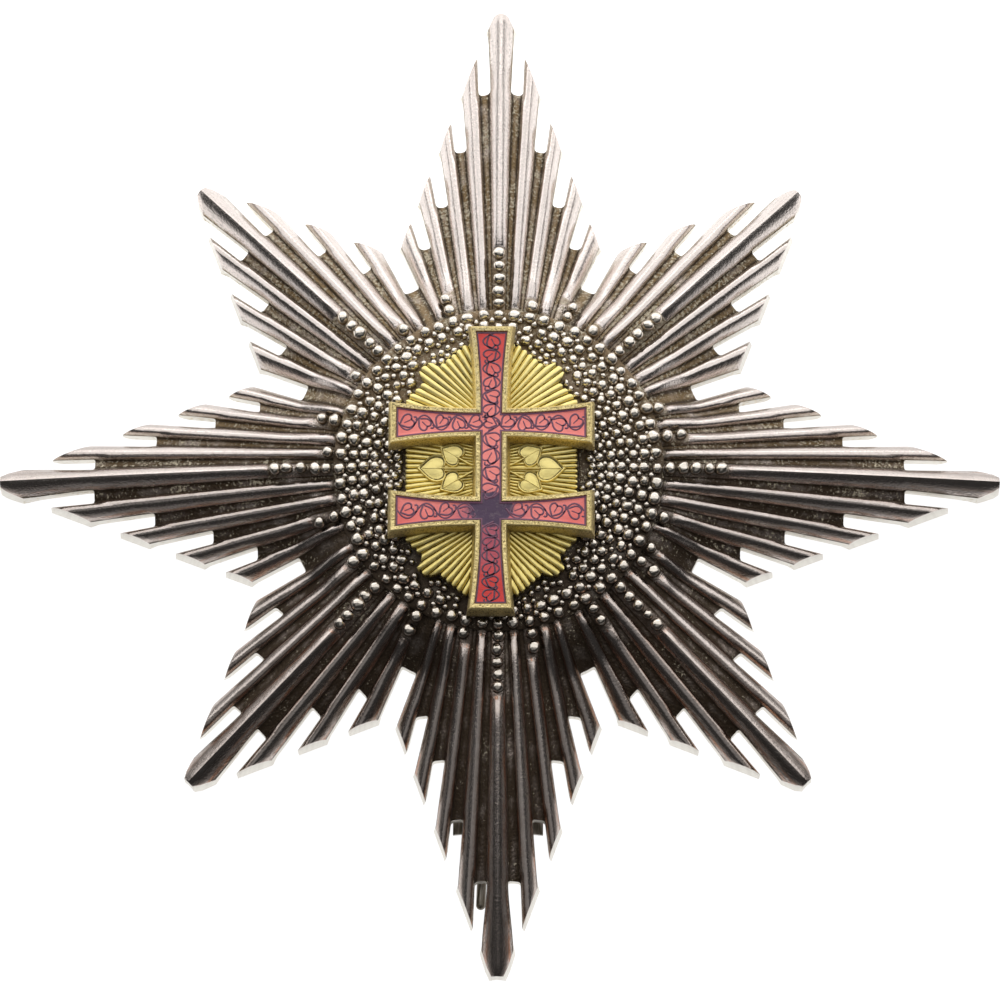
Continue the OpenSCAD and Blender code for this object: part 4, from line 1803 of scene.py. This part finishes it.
    def build_lines(self) -> bpy.types.Object:
        """Builds the dark lines in the enamel: a border, and hearts on a winding stem in each bar.

        Returns:
            The object.
        """
        z = self.line_z
        border = [(-0.04, z + 0.045, 0), (-0.18, z + 0.02, 0), (-0.18, z - 0.1, 0), (-0.04, z - 0.1, 0)]
        pieces = [self.walls("line_border", border)]
        rng = np.random.default_rng(self.seed)
        up, low, out = self.upper_bar, self.lower_bar, self.side_end_x - 0.2
        stretches = (
            ((0.0, self.top_end_y - 0.25), (0.0, up + 0.55), 6), ((0.0, up - 0.7), (0.0, low + 1.15), 4),
            ((0.0, low - 1.1), (0.0, 0.25 - self.foot_end_y), 6), ((-out, up), (-0.65, up), 5),
            ((0.65, up), (out, up), 5), ((-out, low), (-1.5, low), 4), ((1.5, low), (out, low), 4),
            ((0.0, up - 0.6), (0.0, up + 0.6), 1),
        )
        for number, (start, end, count) in enumerate(stretches):
            pieces += self.scroll(number, np.array(start), np.array(end), count, rng)
        return joined(pieces, "enamel_lines")

    def scroll(
        self, number: int, start: np.ndarray, end: np.ndarray, count: int, rng: np.random.Generator
    ) -> list[bpy.types.Object]:
        """The lines of one stretch: hearts with midribs, and a winding stem with curls.

        Args:
            number: The stretch's number.
            start: Where it starts, from the medallion's centre.
            end: Where it ends.
            count: How many hearts it has.
            rng: The random numbers.

        Returns:
            One object for each line.
        """
        way = (end - start) / np.linalg.norm(end - start)
        across = np.array([-way[1], way[0]])
        pitch = np.linalg.norm(end - start) / count
        along = math.degrees(math.atan2(way[1], way[0]))
        half = (self.upright_half if way[0] == 0 else self.side_half) - 0.2
        made = []
        for i in range(count):
            swing = (-1) ** i
            turn = along + 180 + swing * rng.uniform(20, 75)
            size = min(pitch * 0.9, half * 1.75) * rng.uniform(0.92, 1.04)
            tip = np.array([math.cos(math.radians(turn)), math.sin(math.radians(turn))]) * size
            notch = start + way * pitch * (i + 0.5) + across * 0.1 * swing - tip * 0.38
            leaf = np.stack(turned(*heart(size, 7).T, turn), 1) + notch
            loop = np.concatenate([leaf, leaf[:2]])
            made.append(self.ribbon(f"heart_{number}_{i}", loop, self.outer_half))
            rib = notch + np.outer(np.linspace(0.0, 0.62, 4), tip)
            made.append(self.ribbon(f"rib_{number}_{i}", rib, self.rib_half))
            t = np.linspace(-0.62, 0.5, 12)
            wave = -swing * (half + 0.03) * np.cos(np.clip(t, -0.5, 0.5) * math.pi) ** 0.8
            wave[t < -0.5] = swing * half * 0.35 * (-0.5 - t[t < -0.5]) / 0.12
            stem = start + np.outer(i + 0.5 + t, way) * pitch + np.outer(wave, across)
            made.append(self.ribbon(f"stem_{number}_{i}", stem, self.stem_half))
            angles = np.radians(along + swing * np.linspace(-60, 140, 7))
            curl = np.stack([np.cos(angles), np.sin(angles)], 1) * np.linspace(0.2, 0.12, 7)[:, None]
            curl += start + way * pitch * (i + 0.95) + across * swing * half * 0.6
            made.append(self.ribbon(f"curl_{number}_{i}", curl, self.outer_half))
        return made

    def ribbon(self, name: str, path: np.ndarray, half: float) -> bpy.types.Object:
        """Builds a flat line with round edges along a path.

        Args:
            name: The mesh's name.
            path: Points from the medallion's centre.
            half: Half its width.

        Returns:
            The object.
        """
        z = self.line_z
        across, heights = (-1.5, -0.8, 0.8, 1.5), (z - 0.06, z, z, z - 0.06)
        return strip_object(name, path + self.middle, half, across, heights, (0.0, 0.0, 0.0, 0.0))


@dataclass(frozen=True)
class Studio:
    """The pale floor, the soft lights and the camera.

    Args:
        towards: Direction from the star to the camera.
        distance: Distance of the camera, in mm.
        scale: Pixels for each mm at the star.
        centre: Where the star's middle falls, in pixels of the photograph.
        roll: Turn of the camera, in degrees.
        width: Width of the photograph in pixels.
        height: Its height.
        lights: Each light's name, its place and its size in metres, and its power in watts.
    """

    towards: Plan = (0.0139, -0.2402)
    distance: float = 462.5
    scale: float = 11.061
    centre: Plan = (499.49, 487.85)
    roll: float = 0.232
    width: int = 1000
    height: int = 989
    lights: tuple[tuple[str, Spot, Plan, float], ...] = (
        ("high_window", (0.0, 0.68, 0.95), (5.0, 1.45), 26.5),
        ("low_window", (0.0, 1.3, 0.38), (3.2, 0.7), 10.5),
        ("near_wall", (0.15, -0.34, 1.15), (2.2, 0.9), 1.5),
    )

    def camera(self) -> bpy.types.Object:
        """Places the camera as the photograph was taken.

        Returns:
            The camera.
        """
        data = bpy.data.cameras.new("camera")
        made = bpy.data.objects.new("camera", data)
        bpy.context.scene.collection.objects.link(made)
        x, y = self.towards
        away = Vector((x, y, math.sqrt(1 - x * x - y * y)))
        right = Vector((0, 1, 0)).cross(away).normalized()
        up = away.cross(right)
        c, s = math.cos(math.radians(self.roll)), math.sin(math.radians(self.roll))
        axes = (right * c + up * s, up * c - right * s, away)
        place = away * self.distance * MM
        rows = [(*(axis[i] for axis in axes), place[i]) for i in range(3)]
        made.matrix_world = Matrix([*rows, (0, 0, 0, 1)])
        data.sensor_width = 36.0
        data.lens = self.scale * self.distance / self.width * data.sensor_width
        data.shift_x = (self.width / 2 - self.centre[0]) / self.width
        data.shift_y = (self.centre[1] - self.height / 2) / self.width
        data.clip_start, data.clip_end = 0.01, 20.0
        bpy.context.scene.camera = made
        return made

    def light(self, name: str, place: Spot, size: Plan, power: float) -> None:
        """Adds a soft rectangular light that faces the star.

        Args:
            name: The light's name.
            place: Where it is, in metres.
            size: Its width and height, in metres.
            power: Its power in watts.
        """
        data = bpy.data.lights.new(name, "AREA")
        data.shape = "RECTANGLE"
        data.size, data.size_y = size
        data.energy = power
        made = bpy.data.objects.new(name, data)
        bpy.context.scene.collection.objects.link(made)
        made.location = place
        made.rotation_mode = "QUATERNION"
        made.rotation_quaternion = Vector(place).to_track_quat("Z", "Y")

    def floor(self) -> None:
        """Lays the floor. It glows white to the camera, an evenly bright backdrop. Towards the metal it is
        painted light: it glows fully for rays of a few mm, which lights the cut walls, and beyond that it
        glows bright behind the star and dim in front of it, which paints the light and shade that the
        flanks reflect.
        """
        mesh = bpy.data.meshes.new("floor")
        mesh.from_pydata([(-3, -3, 0), (3, -3, 0), (3, 3, 0), (-3, 3, 0)], [], [(0, 1, 2, 3)])
        made = bpy.data.objects.new("floor", mesh)
        bpy.context.scene.collection.objects.link(made)
        material, graph, shader = new_material("pale_floor")
        path = graph.node("ShaderNodeLightPath").outputs
        # Painted light: full glow for rays shorter than 3 to 8 mm, which lights the cut walls and
        # undersides.
        near = graph.ramp(path["Ray Length"], 0.003, 0.008, 1.0, 0.0)
        # Painted reflection and shade: the floor glows bright behind the star (+Y) and dim in front of it
        # (-Y).
        far = graph.ramp(graph.height_up(graph.place()), -0.02, 0.03, 0.07, 1.3)
        glow = graph.maths("MAXIMUM", path["Is Camera Ray"], graph.maths("MAXIMUM", near, far))
        graph.feed(shader.inputs["Emission Strength"], glow)
        shader.inputs["Base Color"].default_value = (0.2, 0.2, 0.2, 1)
        shader.inputs["Roughness"].default_value = 0.9
        shader.inputs["Specular IOR Level"].default_value = 0.1
        shader.inputs["Emission Color"].default_value = (1, 1, 1, 1)
        mesh.materials.append(material)

    def build(self) -> None:
        """Builds the whole studio."""
        self.camera()
        self.floor()
        for name, place, size, power in self.lights:
            self.light(name, place, size, power)
        world = bpy.data.worlds.new("studio")
        bpy.context.scene.world = world
        world.use_nodes = True
        world.node_tree.nodes["Background"].inputs["Color"].default_value = (1, 1, 1, 1)
        world.node_tree.nodes["Background"].inputs["Strength"].default_value = 0.035
        bpy.context.scene.view_settings.view_transform = "Standard"
        bpy.context.scene.view_settings.look = "None"


@dataclass
class Finishes:
    """All the star's materials.

    Args:
        effects: The node groups that the finishes share.
    """

    effects: Effects = field(default_factory=Effects)

    def __post_init__(self) -> None:
        """Makes the materials."""
        silver = dict(worn=(0.54, 0.49, 0.45), dark=(0.07, 0.048, 0.03), silt=(0.72, 0.64, 0.48))
        # For the gilt too, stained is painted shade over the lower half and earth is painted light on the
        # upper half.
        gold = dict(
            worn=(0.8, 0.62, 0.17), dark=(0.06, 0.038, 0.003), silt=(0.75, 0.6, 0.22),
            earth=(0.09, 0.06, 0.005), stained=(0.55, 0.42, 0.09), copper=(0.3, 0.19, 0.02),
        )
        self.rays = self._metal(
            "ray_silver", (0.72, 0.645, 0.605), gloss=0.22, reach=0.72, softness=0.22, streak=0.42,
            stain=0.6, grain=6e-5, speckle=0.4, metal_in_dark=0.75, **silver,
        )
        self.cut = self._metal(
            "sawn_silver", (0.86, 0.83, 0.77), gloss=0.5, reach=1.9, streak=0.2, grain=1e-5, **silver,
        )
        self.back = self._metal(
            "back_silver", (0.52, 0.5, 0.47), gloss=0.42, reach=1.5, streak=0.4, **silver,
        )
        # The beads' dark sides are partly tarnish and partly painted shade; stain adds painted shade over
        # the lower half.
        self.beads = self._metal(
            "bead_silver", (0.85, 0.79, 0.7), gloss=0.18, reach=0.28, softness=0.24, streak=0.3,
            stain=0.6, grain=4e-5, metal_in_dark=0.7, **silver,
        )
        self.collar = self._metal(
            "collar_silver", (0.5, 0.47, 0.43), earth=(0.27, 0.19, 0.11), gloss=0.4, reach=0.6,
            metal_in_dark=0.6, **silver,
        )
        self.gilt = self._metal(
            "ground_gilt", (1.0, 0.86, 0.37), gloss=0.36, reach=0.66, softness=0.14, streak=0.3,
            stain=0.55, grain=3e-5, speckle=0.12, **gold,
        )
        self.rim = self._metal(
            "rim_gilt", (0.93, 0.77, 0.38), worn=(0.7, 0.53, 0.2), dark=(0.2, 0.13, 0.03),
            silt=(0.88, 0.76, 0.45), earth=(0.3, 0.22, 0.03), gloss=0.4, reach=0.95, softness=0.35,
            streak=0.45, grain=6e-5, speckle=0.6,
        )
        self.pin = self._metal(
            "pin_silver", (0.13, 0.115, 0.09), gloss=0.35, reach=1.9, streak=0.5, grain=1e-5, **silver,
        )
        self.enamel = EnamelFinish(
            "red_enamel", (0.62, 0.04, 0.035), (0.93, 0.27, 0.24), scar=(0.09, 0.05, 0.1),
            scar_at=(-0.65, -4.5), scar_size=(2.2, 1.75), foil=0.6,
        ).material(self.effects)
        self.lines = EnamelFinish(
            "scroll_line", (0.09, 0.025, 0.06), (0.2, 0.07, 0.13),
        ).material(self.effects)

    def _metal(self, name: str, clean: Colour, **looks: object) -> bpy.types.Material:
        """Makes one metal's material."""
        return MetalFinish(name=name, clean=clean, **looks).material(self.effects)


def main() -> None:
    """Builds the star's pieces in order, dresses them and lights them."""
    logging.basicConfig(level=logging.INFO, format="%(name)s: %(message)s")
    finishes = Finishes()
    star = RayedStar()
    ground = GiltGround()
    field_of_beads = PearledField(star, ground)
    cross = DoubleCross()
    dress(star.build(), (finishes.rays, finishes.cut, finishes.back), "silver", "star")
    dress(field_of_beads.build_beads(), (finishes.beads,), "beads", "bead_field")
    dress(field_of_beads.build_collar(), (finishes.collar,) * 3, "beads")
    dress(ground.build_plate(), (finishes.gilt,) * 3, "gilt", "gilt_ground")
    dress(ground.build_sprigs(), (finishes.gilt,), "gilt")
    dress(cross.build_frame(), (finishes.rim,), "gilt_frame", "cross_frame")
    dress(cross.build_enamel(), (finishes.enamel,), "red_enamel", "cross_enamel")
    dress(cross.build_lines(), (finishes.lines,), "red_enamel")
    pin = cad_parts["brooch_pin"]
    for slot in pin.material_slots:
        slot.material = finishes.pin
    Studio().build()


if __name__ == "__main__":
    main()
